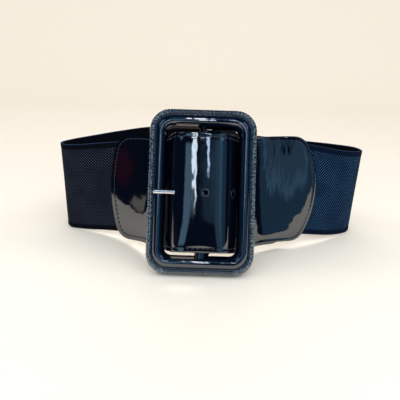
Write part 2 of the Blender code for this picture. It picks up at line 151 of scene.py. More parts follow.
@dataclass(frozen=True)
class WovenElastic:
    """Covered elastic woven in a small diamond twill: matt navy, with dark pits between light floats."""

    pit: str = "#020308"
    ground: str = "#060a14"
    floats: str = "#566079"
    # Bluer copies of the colours, drawn where the painted cooler light falls
    cool_lit_pit: str = "#01040d"
    cool_lit_ground: str = "#05152b"
    cool_lit_floats: str = "#467aac"
    pitch_mm: float = 2.45
    plain_edge_mm: float = 33.6
    cord_edge_mm: float = 37.0
    # The outermost cord's colour, lighter as a painted highlight
    cord: str = "#1c2942"
    ground_share: float = 0.70
    weakest_twill: float = 0.86
    # Where the painted cooler light begins and where it is full, along the belt in millimetres
    cool_lit_from_mm: float = 320.0
    cool_lit_to_mm: float = 180.0

    def make(self) -> bpy.types.Material:
        """Builds the material.

        Returns:
            The material, which reads the flat UV map in metres.
        """
        made, tree, shader = new_material("polyester covered elastic, diamond twill")
        uv = add_node(tree, "ShaderNodeUVMap", uv_map=FLAT_UV).outputs["UV"]
        scaled = add_node(
            tree, "ShaderNodeVectorMath", {0: uv, 1: (1 / MM, 1 / MM, 0.0)}, operation="MULTIPLY"
        )
        millimetres = scaled.outputs[0]
        flat = add_node(tree, "ShaderNodeSeparateXYZ", {0: millimetres})
        height = add_node(tree, "ShaderNodeMath", {0: flat.outputs["Y"]}, operation="ABSOLUTE").outputs[0]
        share = self._twill(tree, uv, millimetres, height)
        dyed_and_lit = self._dye_and_light(tree, share, flat.outputs["X"])
        # Painted highlight: the outermost cord of each woven edge is drawn lighter, for the light it catches.
        cord = add_node(tree, "ShaderNodeMath", {0: height, 1: self.cord_edge_mm}, operation="GREATER_THAN")
        cord_lit = add_node(
            tree,
            "ShaderNodeMix",
            {"Factor": cord.outputs[0], 6: dyed_and_lit, 7: linear(self.cord)},
            data_type="RGBA",
        )
        # Single covering threads, about 0.5 mm apart, give the ground its dry look.
        threads = add_node(tree, "ShaderNodeTexNoise", {"Vector": millimetres, "Scale": 1.9, "Detail": 3.0})
        mixed = add_node(
            tree, "ShaderNodeMath", {0: threads.outputs["Fac"], 1: 0.35, 2: share}, operation="MULTIPLY_ADD"
        )
        bump = add_node(
            tree, "ShaderNodeBump", {"Height": mixed.outputs[0], "Distance": 0.3 * MM, "Strength": 0.9}
        )
        tree.links.new(cord_lit.outputs[2], shader.inputs["Base Color"])
        tree.links.new(bump.outputs["Normal"], shader.inputs["Normal"])
        set_shader(shader, Roughness=0.85, Specular_IOR_Level=0.05)
        return made

    def _twill(
        self,
        tree: bpy.types.NodeTree,
        uv: bpy.types.NodeSocket,
        millimetres: bpy.types.NodeSocket,
        height: bpy.types.NodeSocket,
    ) -> bpy.types.NodeSocket:
        """Weaves the twill.

        Args:
            tree: the material's node tree.
            uv: the flat place in metres.
            millimetres: the flat place in millimetres.
            height: the distance from the elastic's middle line, in millimetres.

        Returns:
            A share from 0 in a pit to 1 on a float.
        """
        # Floats stand out in a diamond lattice every 2.45 mm, coarser than real threads so that they show.
        turns = 2 * math.pi / (self.pitch_mm * MM)
        angles = add_node(tree, "ShaderNodeVectorMath", {0: uv, 1: (turns, turns, 0.0)}, operation="MULTIPLY")
        waves = add_node(tree, "ShaderNodeVectorMath", {0: angles.outputs[0]}, operation="SINE")
        parts = add_node(tree, "ShaderNodeSeparateXYZ", {0: waves.outputs[0]})
        lattice = add_node(
            tree, "ShaderNodeMath", {0: parts.outputs["X"], 1: parts.outputs["Y"]}, operation="MULTIPLY"
        )
        # The twill fades a little where the elastic is pulled tighter, over a few centimetres.
        pull = add_node(tree, "ShaderNodeTexNoise", {"Vector": millimetres, "Scale": 0.055, "Detail": 2.0})
        strength = add_node(
            tree,
            "ShaderNodeMapRange",
            {"Value": pull.outputs["Fac"], "From Min": 0.38, "From Max": 0.55, "To Min": self.weakest_twill},
        )
        # The woven edges are plain for the last 4 mm above and below.
        low, high = self.plain_edge_mm - 1.0, self.plain_edge_mm + 1.0
        inside = add_node(
            tree,
            "ShaderNodeMapRange",
            {"Value": height, "From Min": low, "From Max": high, "To Min": 1.0, "To Max": 0.0},
        )
        shown = add_node(
            tree, "ShaderNodeMath", {0: strength.outputs[0], 1: inside.outputs[0]}, operation="MULTIPLY"
        )
        twill = add_node(
            tree, "ShaderNodeMath", {0: lattice.outputs[0], 1: shown.outputs[0]}, operation="MULTIPLY"
        )
        return add_node(tree, "ShaderNodeMapRange", {"Value": twill.outputs[0], "From Min": -1.0}).outputs[0]

    def _dye_and_light(
        self, tree: bpy.types.NodeTree, share: bpy.types.NodeSocket, along: bpy.types.NodeSocket
    ) -> bpy.types.NodeSocket:
        """Colours the pits, the ground and the floats, and paints cooler light towards the tab.

        Args:
            tree: the material's node tree.
            share: the twill, from pit to float.
            along: the distance along the belt, in millimetres.

        Returns:
            The colour.
        """
        shades = []
        for pit, ground, floats in (
            (self.pit, self.ground, self.floats),
            (self.cool_lit_pit, self.cool_lit_ground, self.cool_lit_floats),
        ):
            ramp = add_node(tree, "ShaderNodeValToRGB", {"Fac": share})
            ramp.color_ramp.elements[0].color = linear(pit)
            ramp.color_ramp.elements[1].color = linear(floats)
            ramp.color_ramp.elements.new(self.ground_share).color = linear(ground)
            shades.append(ramp.outputs["Color"])
        # Painted light: the colours turn bluer towards the tab, standing in for the cooler light that falls
        # on the belt's right side.
        cool = add_node(
            tree,
            "ShaderNodeMapRange",
            {"Value": along, "From Min": self.cool_lit_from_mm, "From Max": self.cool_lit_to_mm},
            interpolation_type="SMOOTHSTEP",
        )
        mixed = add_node(
            tree, "ShaderNodeMix", {"Factor": cool.outputs[0], 6: shades[0], 7: shades[1]}, data_type="RGBA"
        )
        return mixed.outputs[2]


@dataclass(frozen=True)
class PatentLeather:
    """Leather under thick clear lacquer: nearly black navy, with highlights that waver over the grain."""

    colour: str = "#040915"
    grain_mm: float = 1.4
    swell_mm: float = 9.0
    grain_depth: float = 0.06
    gloss: float = 1.0
    # The lighter blue of a painted highlight on gathered pleats, where a piece has them
    glint_colour: str | None = None
    glint_patch_mm: float = 1.3
    uv_name: str | None = FLAT_UV

    def make(self, name: str) -> bpy.types.Material:
        """Builds the material.

        Args:
            name: the material's name.

        Returns:
            The material, which reads the flat UV map or, with none, object coordinates.
        """
        made, tree, shader = new_material(name)
        if self.uv_name:
            place = add_node(tree, "ShaderNodeUVMap", uv_map=self.uv_name).outputs["UV"]
        else:
            place = add_node(tree, "ShaderNodeTexCoord").outputs["Object"]
        # Hair-fine grain under the lacquer breaks up a highlight's rim, and wider swells bend its line.
        grain = add_node(
            tree, "ShaderNodeTexNoise", {"Vector": place, "Scale": 1 / (self.grain_mm * MM), "Detail": 2.0}
        )
        swells = add_node(
            tree, "ShaderNodeTexNoise", {"Vector": place, "Scale": 1 / (self.swell_mm * MM), "Detail": 1.0}
        )
        height = add_node(
            tree,
            "ShaderNodeMath",
            {0: grain.outputs["Fac"], 1: self.grain_depth, 2: swells.outputs["Fac"]},
            operation="MULTIPLY_ADD",
        )
        bump = add_node(
            tree, "ShaderNodeBump", {"Height": height.outputs[0], "Distance": 0.25 * MM, "Strength": 0.35}
        )
        tree.links.new(bump.outputs["Normal"], shader.inputs["Normal"])
        tree.links.new(bump.outputs["Normal"], shader.inputs["Coat Normal"])
        set_shader(shader, Base_Color=linear(self.colour), Roughness=0.5, Specular_IOR_Level=0.0)
        set_shader(shader, Coat_Weight=self.gloss, Coat_Roughness=0.045, Coat_IOR=2.05)
        if self.glint_colour:
            # Painted highlight: a lighter blue is mixed in, in patches, over the marked pleats, standing in
            # for the glints that they catch.
            crease_glints = add_node(tree, "ShaderNodeAttribute", attribute_name=CREASE_GLINTS)
            patches = add_node(
                tree,
                "ShaderNodeTexNoise",
                {"Vector": place, "Scale": 1 / (self.glint_patch_mm * MM), "Detail": 3.0},
            )
            spread = add_node(
                tree,
                "ShaderNodeMapRange",
                {"Value": patches.outputs["Fac"], "From Min": 0.42, "From Max": 0.62},
            )
            share = add_node(
                tree,
                "ShaderNodeMath",
                {0: crease_glints.outputs["Fac"], 1: spread.outputs[0]},
                operation="MULTIPLY",
            )
            dyed_and_lit = add_node(
                tree,
                "ShaderNodeMix",
                {"Factor": share.outputs[0], 6: linear(self.colour), 7: linear(self.glint_colour)},
                data_type="RGBA",
            )
            tree.links.new(dyed_and_lit.outputs[2], shader.inputs["Base Color"])
        return made


@dataclass(frozen=True)
class SplitLeather:
    """The flesh side of a split hide, dyed through: a dull blue-black nap with a soft mottle."""

    dark: str = "#0b0d14"
    light: str = "#181c27"
    sheen: float = 0.1
    tuft_mm: float = 0.8

    def make(self, name: str) -> bpy.types.Material:
        """Builds the material.

        Args:
            name: the material's name.

        Returns:
            The material, which reads the flat UV map.
        """
        made, tree, shader = new_material(name)
        uv = add_node(tree, "ShaderNodeUVMap", uv_map=FLAT_UV)
        # The nap lies in tufts of about 0.8 mm.
        nap = add_node(
            tree,
            "ShaderNodeTexNoise",
            {"Vector": uv.outputs["UV"], "Scale": 1 / (self.tuft_mm * MM), "Detail": 4.0},
        )
        ramp = add_node(tree, "ShaderNodeValToRGB", {"Fac": nap.outputs["Fac"]})
        ramp.color_ramp.elements[0].color = linear(self.dark)
        ramp.color_ramp.elements[1].color = linear(self.light)
        bump = add_node(
            tree, "ShaderNodeBump", {"Height": nap.outputs["Fac"], "Distance": 0.2 * MM, "Strength": 0.6}
        )
        tree.links.new(ramp.outputs["Color"], shader.inputs["Base Color"])
        tree.links.new(bump.outputs["Normal"], shader.inputs["Normal"])
        set_shader(shader, Roughness=0.9, Specular_IOR_Level=0.1)
        set_shader(shader, Sheen_Weight=self.sheen, Sheen_Roughness=0.5)
        return made


@dataclass(frozen=True)
class BrightNickel:
    """Nickel plating over a polished casting: a nearly white mirror with faint polishing waves."""

    colour: str = "#f0f0f1"
    wave_mm: float = 0.9

    def make(self, name: str) -> bpy.types.Material:
        """Builds the material.

        Args:
            name: the material's name.

        Returns:
            The material, which reads object coordinates.
        """
        made, tree, shader = new_material(name)
        place = add_node(tree, "ShaderNodeTexCoord").outputs["Object"]
        waves = add_node(tree, "ShaderNodeTexNoise", {"Vector": place, "Scale": 1 / (self.wave_mm * MM)})
        bump = add_node(
            tree, "ShaderNodeBump", {"Height": waves.outputs["Fac"], "Distance": 0.05 * MM, "Strength": 0.4}
        )
        rough = add_node(
            tree, "ShaderNodeMapRange", {"Value": waves.outputs["Fac"], "To Min": 0.18, "To Max": 0.30}
        )
        tree.links.new(bump.outputs["Normal"], shader.inputs["Normal"])
        tree.links.new(rough.outputs[0], shader.inputs["Roughness"])
        set_shader(shader, Base_Color=linear(self.colour), Metallic=1.0)
        return made


@dataclass(frozen=True)
class SewingThread:
    """Twisted polyester thread, a little lighter than the leather: a soft sheen along each stitch."""

    colour: str = "#10182c"
    twist_mm: float = 0.35

    def make(self) -> bpy.types.Material:
        """Builds the material.

        Returns:
            The material, which reads object coordinates.
        """
        made, tree, shader = new_material("polyester thread, twisted")
        place = add_node(tree, "ShaderNodeTexCoord").outputs["Object"]
        twist = add_node(tree, "ShaderNodeTexNoise", {"Vector": place, "Scale": 1 / (self.twist_mm * MM)})
        bump = add_node(
            tree, "ShaderNodeBump", {"Height": twist.outputs["Fac"], "Distance": 0.1 * MM, "Strength": 0.5}
        )
        tree.links.new(bump.outputs["Normal"], shader.inputs["Normal"])
        set_shader(shader, Base_Color=linear(self.colour), Roughness=0.5, Sheen_Weight=0.3)
        return made


def pick(piece: bpy.types.Object) -> None:
    """Selects one object alone and makes it active."""
    bpy.ops.object.select_all(action="DESELECT")
    piece.select_set(True)
    bpy.context.view_layer.objects.active = piece


def points_of(piece: bpy.types.Object) -> np.ndarray:
    """Reads a mesh's points as rows of X, Y and Z."""
    flat = np.empty(len(piece.data.vertices) * 3)
    piece.data.vertices.foreach_get("co", flat)
    return flat.reshape(-1, 3)


def move_points(piece: bpy.types.Object, points: np.ndarray) -> None:
    """Moves a mesh's points to the given rows."""
    piece.data.vertices.foreach_set("co", np.asarray(points, float).ravel())
    piece.data.update()


def faces_of(piece: bpy.types.Object, what: Reading) -> np.ndarray:
    """Reads the normals or the middles of a mesh's faces as rows of X, Y and Z."""
    flat = np.empty(len(piece.data.polygons) * 3)
    piece.data.polygons.foreach_get(what.value, flat)
    return flat.reshape(-1, 3)


def map_flat(piece: bpy.types.Object) -> None:
    """Writes the flat place of every corner, in metres, as a flat piece's UV map."""
    layer = piece.data.uv_layers.active or piece.data.uv_layers.new()
    layer.name = FLAT_UV
    corners = np.empty(len(piece.data.loops), int)
    piece.data.loops.foreach_get("vertex_index", corners)
    layer.data.foreach_set("uv", points_of(piece)[corners, :2].ravel())


def new_grid(name: str, columns: int, rows: int) -> tuple[bpy.types.Object, np.ndarray, np.ndarray]:
    """Adds a flat grid that a piece is shaped from.

    Args:
        name: the piece's name.
        columns: how many points it has along X.
        rows: how many points it has along Y.

    Returns:
        The grid, and the column and the row that each of its points is in.
    """
    bpy.ops.object.select_all(action="DESELECT")
    bpy.ops.mesh.primitive_grid_add(x_subdivisions=columns - 1, y_subdivisions=rows - 1, size=1)
    piece = bpy.context.object
    piece.name = name
    piece.data.name = name
    across, up, _ = points_of(piece).T + 0.5
    return piece, np.rint(across * (columns - 1)).astype(int), np.rint(up * (rows - 1)).astype(int)


def join_pieces(pieces: Sequence[bpy.types.Object], name: str) -> bpy.types.Object:
    """Joins pieces into one, with their places and turns in its mesh.

    Args:
        pieces: the pieces, of which the first takes in the others.
        name: the joined piece's name.

    Returns:
        The joined piece.
    """
    pick(pieces[0])
    for piece in pieces:
        piece.select_set(True)
    bpy.ops.object.join()
    joined = bpy.context.object
    bpy.ops.object.transform_apply(location=True, rotation=True, scale=True)
    joined.name = name
    joined.data.name = name
    return joined


def apply_modifiers(piece: bpy.types.Object) -> None:
    """Applies every modifier of a piece, in order."""
    pick(piece)
    for name in [modifier.name for modifier in piece.modifiers]:
        bpy.ops.object.modifier_apply(modifier=name)


def close_seams(piece: bpy.types.Object) -> None:
    """Merges the edges that lie on each other and turns every normal outwards."""
    pick(piece)
    bpy.ops.object.mode_set(mode="EDIT")
    bpy.ops.mesh.select_all(action="SELECT")
    bpy.ops.mesh.remove_doubles(threshold=0.000005)
    bpy.ops.mesh.normals_make_consistent(inside=False)
    bpy.ops.object.mode_set(mode="OBJECT")


def smooth(piece: bpy.types.Object, degrees: float = 45.0) -> None:
    """Shades a piece smooth up to its sharp edges."""
    pick(piece)
    bpy.ops.object.shade_smooth_by_angle(angle=math.radians(degrees))


def noise_at(points: np.ndarray, scale_mm: Sequence[float], seed: float = 0.0) -> np.ndarray:
    """Soft noise at many places.

    Args:
        points: rows of X, Y and Z in metres.
        scale_mm: the size of a swell along X, Y and Z.
        seed: a shift that gives another draw.

    Returns:
        One value from about -1 to 1 for each row.
    """
    scaled = points / (np.asarray(scale_mm) * MM) + seed
    return np.array([noise.noise(Vector(row)) for row in scaled])


def ease(share: np.ndarray) -> np.ndarray:
    """Rounds off both ends of a ramp from 0 to 1."""
    return share**2 * (3 - 2 * share)


def ramp_between(values: np.ndarray, start: float, stop: float) -> np.ndarray:
    """Turns values into shares: 0 up to the start, 1 from the stop on, in either direction."""
    return np.clip((values - start) / (stop - start), 0, 1)


@dataclass(frozen=True)
class LoopSizes:
    """Sizes that every piece follows."""

    right: float = 0.139
    left: float = 0.1216
    depth: float = 0.142
    lean: float = 24.0
    elastic_height: float = 0.075
    elastic_wall: float = 0.0019
    strap_height: float = 0.085
    strap_wall: float = 0.0026
    tab_wall: float = 0.0013
    tab_length: float = 0.087
    clearance: float = 0.0003
    frame_width: float = 0.078
    frame_height: float = 0.120
    frame_side: float = 0.0125
    frame_end: float = 0.0136
    frame_rise: float = 0.0060
    frame_back: float = 0.0050
    bar_diameter: float = 0.005
    prong_diameter: float = 0.0034
    prong_drop: float = 0.0012
    prong_rest: float = 0.008
    bulge_proud: float = 0.0050
    bulge_drop: float = 0.0010

    @property
    def window_half(self) -> float:
        """Half the width of the frame's window."""
        return self.frame_width / 2 - self.frame_side


# The strap's way over the bar, left to right
# across: share of half the window's width; level: from the frame's back face (0) to the bulge's rise (1)
BULGE_ROWS = (
    (-1.320, -0.80),
    (-1.135, -0.49),
    (-1.005, -0.19),
    (-0.912, 0.11),
    (-0.840, 0.40),
    (-0.755, 0.72),
    (-0.655, 0.90),
    (-0.450, 0.99),
    (-0.200, 1.00),
    (0.000, 0.99),
    (0.240, 0.97),
    (0.450, 0.93),
    (0.610, 0.84),
    (0.740, 0.65),
    (0.840, 0.39),
    (0.920, 0.13),
    (1.010, -0.13),
    (1.140, -0.42),
    (1.340, -0.74),
)

# The band in front, from behind the frame's side to the loop's side
# beyond: share of the way between the two sides; back: share of the depth; lift: share of the height that the
# buckle's middle has over the elastic's; lean: share of the lean
FRONT_RIGHT_ROWS = (
    (0.060, 0.178, 0.60, 0.90),
    (0.200, 0.208, 0.60, 0.72),
    (0.373, 0.230, 0.57, 0.50),
    (0.564, 0.256, 0.40, 0.30),
    (0.760, 0.302, 0.17, 0.13),
    (0.921, 0.364, 0.04, 0.03),
)
FRONT_LEFT_ROWS = (
    (0.051, 0.178, 0.52, 0.88),
    (0.190, 0.224, 0.43, 0.68),
    (0.360, 0.260, 0.32, 0.46),
    (0.545, 0.284, 0.20, 0.26),
    (0.745, 0.302, 0.08, 0.10),
    (0.930, 0.336, 0.01, 0.01),
)

# The upright elastic round the back, right to left
# across: share of the right or left side; back: share of the depth
BACK_ROWS = (
    (1.000, 0.440),
    (0.976, 0.530),
    (0.861, 0.600),
    (0.659, 0.672),
    (0.394, 0.770),
    (0.110, 0.890),
    (-0.209, 0.985),
    (-0.450, 0.955),
    (-0.659, 0.800),
    (-0.827, 0.632),
    (-0.952, 0.500),
    (-1.000, 0.410),
)


class Path:
    """A line that a flat piece is wrapped along, with the ways up across the piece and out of its face."""

    def __init__(
        self, places: np.ndarray, rises: np.ndarray, normals: np.ndarray, closed: bool = False
    ) -> None:
        """Keeps the line's rows and works out their lengths.

        Args:
            places: points along the line.
            rises: the direction across the piece at each point.
            normals: the direction out of the piece's face at each point.
            closed: whether the last point joins the first.
        """
        ends = np.vstack([places, places[:1]]) if closed else places
        lengths = np.concatenate([[0.0], np.cumsum(np.linalg.norm(np.diff(ends, axis=0), axis=1))])
        self.total = float(lengths[-1])
        self.period = self.total if closed else None
        self.lengths = lengths[: len(places)]
        self.rows = np.hstack([places, rises, normals])

    def at(self, lengths: np.ndarray) -> tuple[np.ndarray, np.ndarray, np.ndarray]:
        """Reads the line at some lengths.

        Args:
            lengths: distances along the line.

        Returns:
            Rows of places, of rising directions and of outward directions.
        """
        wanted = lengths % self.period if self.period else lengths
        columns = [np.interp(wanted, self.lengths, column, period=self.period) for column in self.rows.T]
        read = np.column_stack(columns)
        rises = read[:, 3:6] / np.linalg.norm(read[:, 3:6], axis=1)[:, None]
        normals = read[:, 6:] / np.linalg.norm(read[:, 6:], axis=1)[:, None]
        return read[:, :3], rises, normals

    def wrap(self, piece: bpy.types.Object, inset: Callable[[np.ndarray], np.ndarray] | None = None) -> None:
        """Bends a flat piece round the line.

        Args:
            piece: the flat piece.
            inset: how far inside the line the piece's middle lies, by length.
        """
        points = points_of(piece)
        places, rises, normals = self.at(points[:, 0])
        outwards = points[:, 2] - (inset(points[:, 0]) if inset else 0.0)
        move_points(piece, places + rises * points[:, 1:2] + normals * outwards[:, None])


def smooth_loop(rows: Sequence[Sequence[float]], steps: int, place_columns: int = 3) -> np.ndarray:
    """Runs a smooth closed line through rows.

    Args:
        rows: places and anything that goes with them.
        steps: how many points each stretch gets.
        place_columns: how many of the first columns are the place.

    Returns:
        The line's points, with the other columns carried along.
    """
    table = np.asarray(rows, float)
    share = np.linspace(0, 1, steps, endpoint=False)[:, None]
    found = []
    for i in range(len(table)):
        before, start, end, after = (table[(i + k) % len(table)] for k in (-1, 0, 1, 2))
        pairs = ((before, start), (start, end), (end, after))
        gaps = [math.sqrt(float(np.linalg.norm((b - a)[:place_columns]))) for a, b in pairs]
        slope_in = (start - before) / gaps[0] - (end - before) / (gaps[0] + gaps[1]) + (end - start) / gaps[1]
        slope_out = (end - start) / gaps[1] - (after - start) / (gaps[1] + gaps[2]) + (after - end) / gaps[2]
        found.append(
            (2 * share**3 - 3 * share**2 + 1) * start
            + (share**3 - 2 * share**2 + share) * slope_in * gaps[1]
            + (-2 * share**3 + 3 * share**2) * end
            + (share**3 - share**2) * slope_out * gaps[1]
        )
    return np.vstack(found)


@dataclass
class Loop:
    """The belt's loop: the leaning buckle's place, and the line that the band follows from there and back."""

    sizes: LoopSizes = field(default_factory=LoopSizes)

    def __post_init__(self) -> None:
        """Places the buckle on its packed bar and runs the band line through its tables."""
        low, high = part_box("centre_bar")
        self.middle = (low + high) / 2
        lean = math.radians(self.sizes.lean)
        up = Vector((0, math.sin(lean), math.cos(lean)))
        out = Vector((0, -math.cos(lean), math.sin(lean)))
        turned = Matrix((Vector((1, 0, 0)), up, out)).transposed().to_4x4()
        self.buckle = Matrix.Translation(self.middle) @ turned
        self.line = self._band_line()

    def in_buckle(self, points: np.ndarray) -> np.ndarray:
        """Takes rows in buckle space (X across, Y up the frame, Z out of its front) to the belt's place."""
        turned = np.array(self.buckle.to_3x3())
        return points @ turned.T + np.array(self.middle)

    def to_buckle(self, points: np.ndarray) -> np.ndarray:
        """Takes rows at the belt's place to buckle space."""
        return (points - np.array(self.middle)) @ np.array(self.buckle.to_3x3())

    def _band_line(self) -> Path:
        """Runs the band line: over the bar, right, round the back and home from the left."""
        sizes = self.sizes
        low = -sizes.frame_back
        high = sizes.frame_rise + sizes.bulge_proud
        bulge = []
        for across, level in BULGE_ROWS:
            depth = low + level * (high - low) - sizes.strap_wall / 2
            place = self.buckle @ Vector((across * sizes.window_half, -sizes.bulge_drop, depth))
            bulge.append((*place, 1.0))
        middle = next(i for i, row in enumerate(BULGE_ROWS) if row[0] == 0)
        rows = bulge[middle:] + self._front(FRONT_RIGHT_ROWS, 1, sizes.right) + self._back()
        rows += self._front(FRONT_LEFT_ROWS, -1, sizes.left)[::-1] + bulge[:middle]
        points = smooth_loop(rows, 24)
        points[:, 2] = np.maximum(points[:, 2], sizes.elastic_height / 2)
        leans = np.radians(sizes.lean) * np.clip(points[:, 3], 0, 1)
        places = points[:, :3]
        rises = np.column_stack([np.zeros(len(points)), np.sin(leans), np.cos(leans)])
        normals = np.cross(np.roll(places, -1, axis=0) - np.roll(places, 1, axis=0), rises)
        normals /= np.linalg.norm(normals, axis=1)[:, None]
        return Path(places, rises, normals, closed=True)

    def _front(self, rows: Sequence[Sequence[float]], side: int, loop_side: float) -> list[tuple[float, ...]]:
        """Places the rows between the buckle and one side of the loop."""
        base = self.sizes.elastic_height / 2
        frame_side = self.sizes.frame_width / 2
        return [
            (
                self.middle.x + side * (frame_side + beyond * (loop_side - frame_side)),
                self.middle.y + back * self.sizes.depth,
                base + lift * (self.middle.z - base),
                lean,
            )
            for beyond, back, lift, lean in rows
        ]

    def _back(self) -> list[tuple[float, ...]]:
        """Places the rows of the upright elastic round the back."""
        sizes = self.sizes
        return [
            (
                self.middle.x + across * (sizes.right if across > 0 else sizes.left),
                self.middle.y + back * sizes.depth,
                sizes.elastic_height / 2,
                0.0,
            )
            for across, back in BACK_ROWS
        ]


@dataclass(frozen=True)
class RoundedEnd:
    """A strap's end: a shallow arc met by two corner arcs."""

    height: float
    end_radius: float
    corner_radius: float

    @property
    def depth(self) -> float:
        """How far from its tip the end reaches full height."""
        wide = self.end_radius - self.corner_radius
        tall = self.height / 2 - self.corner_radius
        return self.end_radius - math.sqrt(wide**2 - tall**2)

    def setback(self, heights: np.ndarray) -> np.ndarray:
        """How far behind the tip the outline is at some heights.

        Args:
            heights: distances from the middle line, of either sign.

        Returns:
            The outline's distance from the tip at each height.
        """
        tall = self.height / 2 - self.corner_radius
        above = np.minimum(np.abs(heights), self.height / 2)
        widest = self.end_radius * tall / (self.end_radius - self.corner_radius)
        arc = self.end_radius - np.sqrt(self.end_radius**2 - np.minimum(above, widest) ** 2)
        rest = np.clip(self.corner_radius**2 - (above - tall) ** 2, 0, None)
        return np.where(above <= widest, arc, self.depth - np.sqrt(rest))

    def margin(self, behind: np.ndarray, heights: np.ndarray) -> np.ndarray:
        """How far inside the outline some places are.

        Args:
            behind: distances behind the tip.
            heights: distances from the middle line.

        Returns:
            Each place's distance from the nearest edge.
        """
        above = np.abs(heights)
        edge = self.height / 2 - above
        arc = self.end_radius - np.hypot(self.end_radius - behind, above)
        tall = self.height / 2 - self.corner_radius
        corner = self.corner_radius - np.hypot(self.depth - behind, above - tall)
        widest = math.atan2(tall, self.end_radius - self.depth)
        in_corner = (
            (behind < self.depth)
            & (above > tall)
            & (np.arctan2(above, np.maximum(self.end_radius - behind, 1e-9)) >= widest)
        )
        return np.where(in_corner, corner, np.minimum(edge, arc))


# Where a flat piece gets extra rows and columns near its edge, in shares of the edge's rounding
EDGE_STEPS = (0.0, 0.06, 0.2, 0.45, 0.8, 1.3, 2.0)


@dataclass
class FlatCut:
    """A band cut from a flat hide or weave, with a rounded or a straight end on either side."""

    start: float
    stop: float
    height: float
    wall: float
    left_end: RoundedEnd | None = None
    right_end: RoundedEnd | None = None
    edge_rounding: float = 0.0009
    column_step: float = 0.0007
    row_step: float = 0.0014
    blend_length: float = 0.060

    def margin(self, points: np.ndarray) -> np.ndarray:
        """How far inside the cut's outline its points are.

        Args:
            points: rows of the flat piece.

        Returns:
            One distance for each row.
        """
        found = self.height / 2 - np.abs(points[:, 1])
        for end, behind, _ in self._ends(points):
            found = np.minimum(found, end.margin(behind, points[:, 1]) if end else behind)
        return np.maximum(found, 0.0)

    def _ends(self, points: np.ndarray) -> tuple[tuple[RoundedEnd | None, np.ndarray, int], ...]:
        """Both ends with how far behind their tips the points are, and the way from the tip into the band."""
        left = (self.left_end, points[:, 0] - self.start, 1)
        right = (self.right_end, self.stop - points[:, 0], -1)
        return left, right

    def _columns(self) -> np.ndarray:
        """Places of the cut's columns, closer together at both ends."""
        near = self.edge_rounding * np.array(EDGE_STEPS)
        inset = near[-1]
        count = max(2, round((self.stop - self.start - 2 * inset) / self.column_step))
        middle = np.linspace(self.start + inset, self.stop - inset, count + 1)
        return np.array([*(self.start + near[:-1]), *middle, *(self.stop - near[-2::-1])])

    def _rows(self) -> np.ndarray:
        """Heights of the cut's rows, closer together at its edges and through its corners."""
        corner = max((end.corner_radius for end in (self.left_end, self.right_end) if end), default=0.0)
        half = self.height / 2
        if corner:
            turns = np.radians(np.linspace(0, 90, 15))
            upper = half - corner + corner * np.sin(turns)
        else:
            upper = half - self.edge_rounding * np.array([3.0, *EDGE_STEPS[::-1]])
        count = round(2 * upper[0] / self.row_step)
        middle = np.linspace(-upper[0], upper[0], count + 1)[1:-1]
        return np.array([*-upper[::-1], *middle, *upper])

    def make(self, name: str, relief: Relief | None = None) -> bpy.types.Object:
        """Cuts the piece from a grid, thickens it and shapes its edges and its outer face.

        Args:
            name: the piece's name.
            relief: how far the outer face stands up, from flat points and their margins.

        Returns:
            The flat piece, with its flat UV map.
        """
        columns, rows = self._columns(), self._rows()
        piece, column, row = new_grid(name, len(columns), len(rows))
        points = np.column_stack([columns[column], rows[row], np.zeros(len(row))])
        points[:, 0] += self._end_shift(points)
        move_points(piece, points)
        map_flat(piece)
        solid = piece.modifiers.new("wall", "SOLIDIFY")
        solid.thickness = self.wall
        solid.offset = 0
        apply_modifiers(piece)
        self._shape_faces(piece, relief)
        return piece

    def _end_shift(self, points: np.ndarray) -> np.ndarray:
        """How far points move along the band so that the outer columns follow the rounded ends."""
        shift = np.zeros(len(points))
        for end, behind, way in self._ends(points):
            if end:
                shift += way * end.setback(points[:, 1]) * ease(ramp_between(behind, self.blend_length, 0))
        return shift

    def _shape_faces(self, piece: bpy.types.Object, relief: Relief | None) -> None:
        """Rounds both faces towards the edge and raises the outer one."""
        points = points_of(piece)
        margins = self.margin(points)
        radius = self.edge_rounding
        near = np.clip(radius - margins, 0, radius)
        thinner = radius - np.sqrt(radius**2 - near**2)
        sides = np.sign(points[:, 2])
        outer = sides > 0
        points[:, 2] = sides * (self.wall / 2 - thinner)
        if relief:
            points[outer, 2] += relief(points[outer], margins[outer])
        move_points(piece, points)


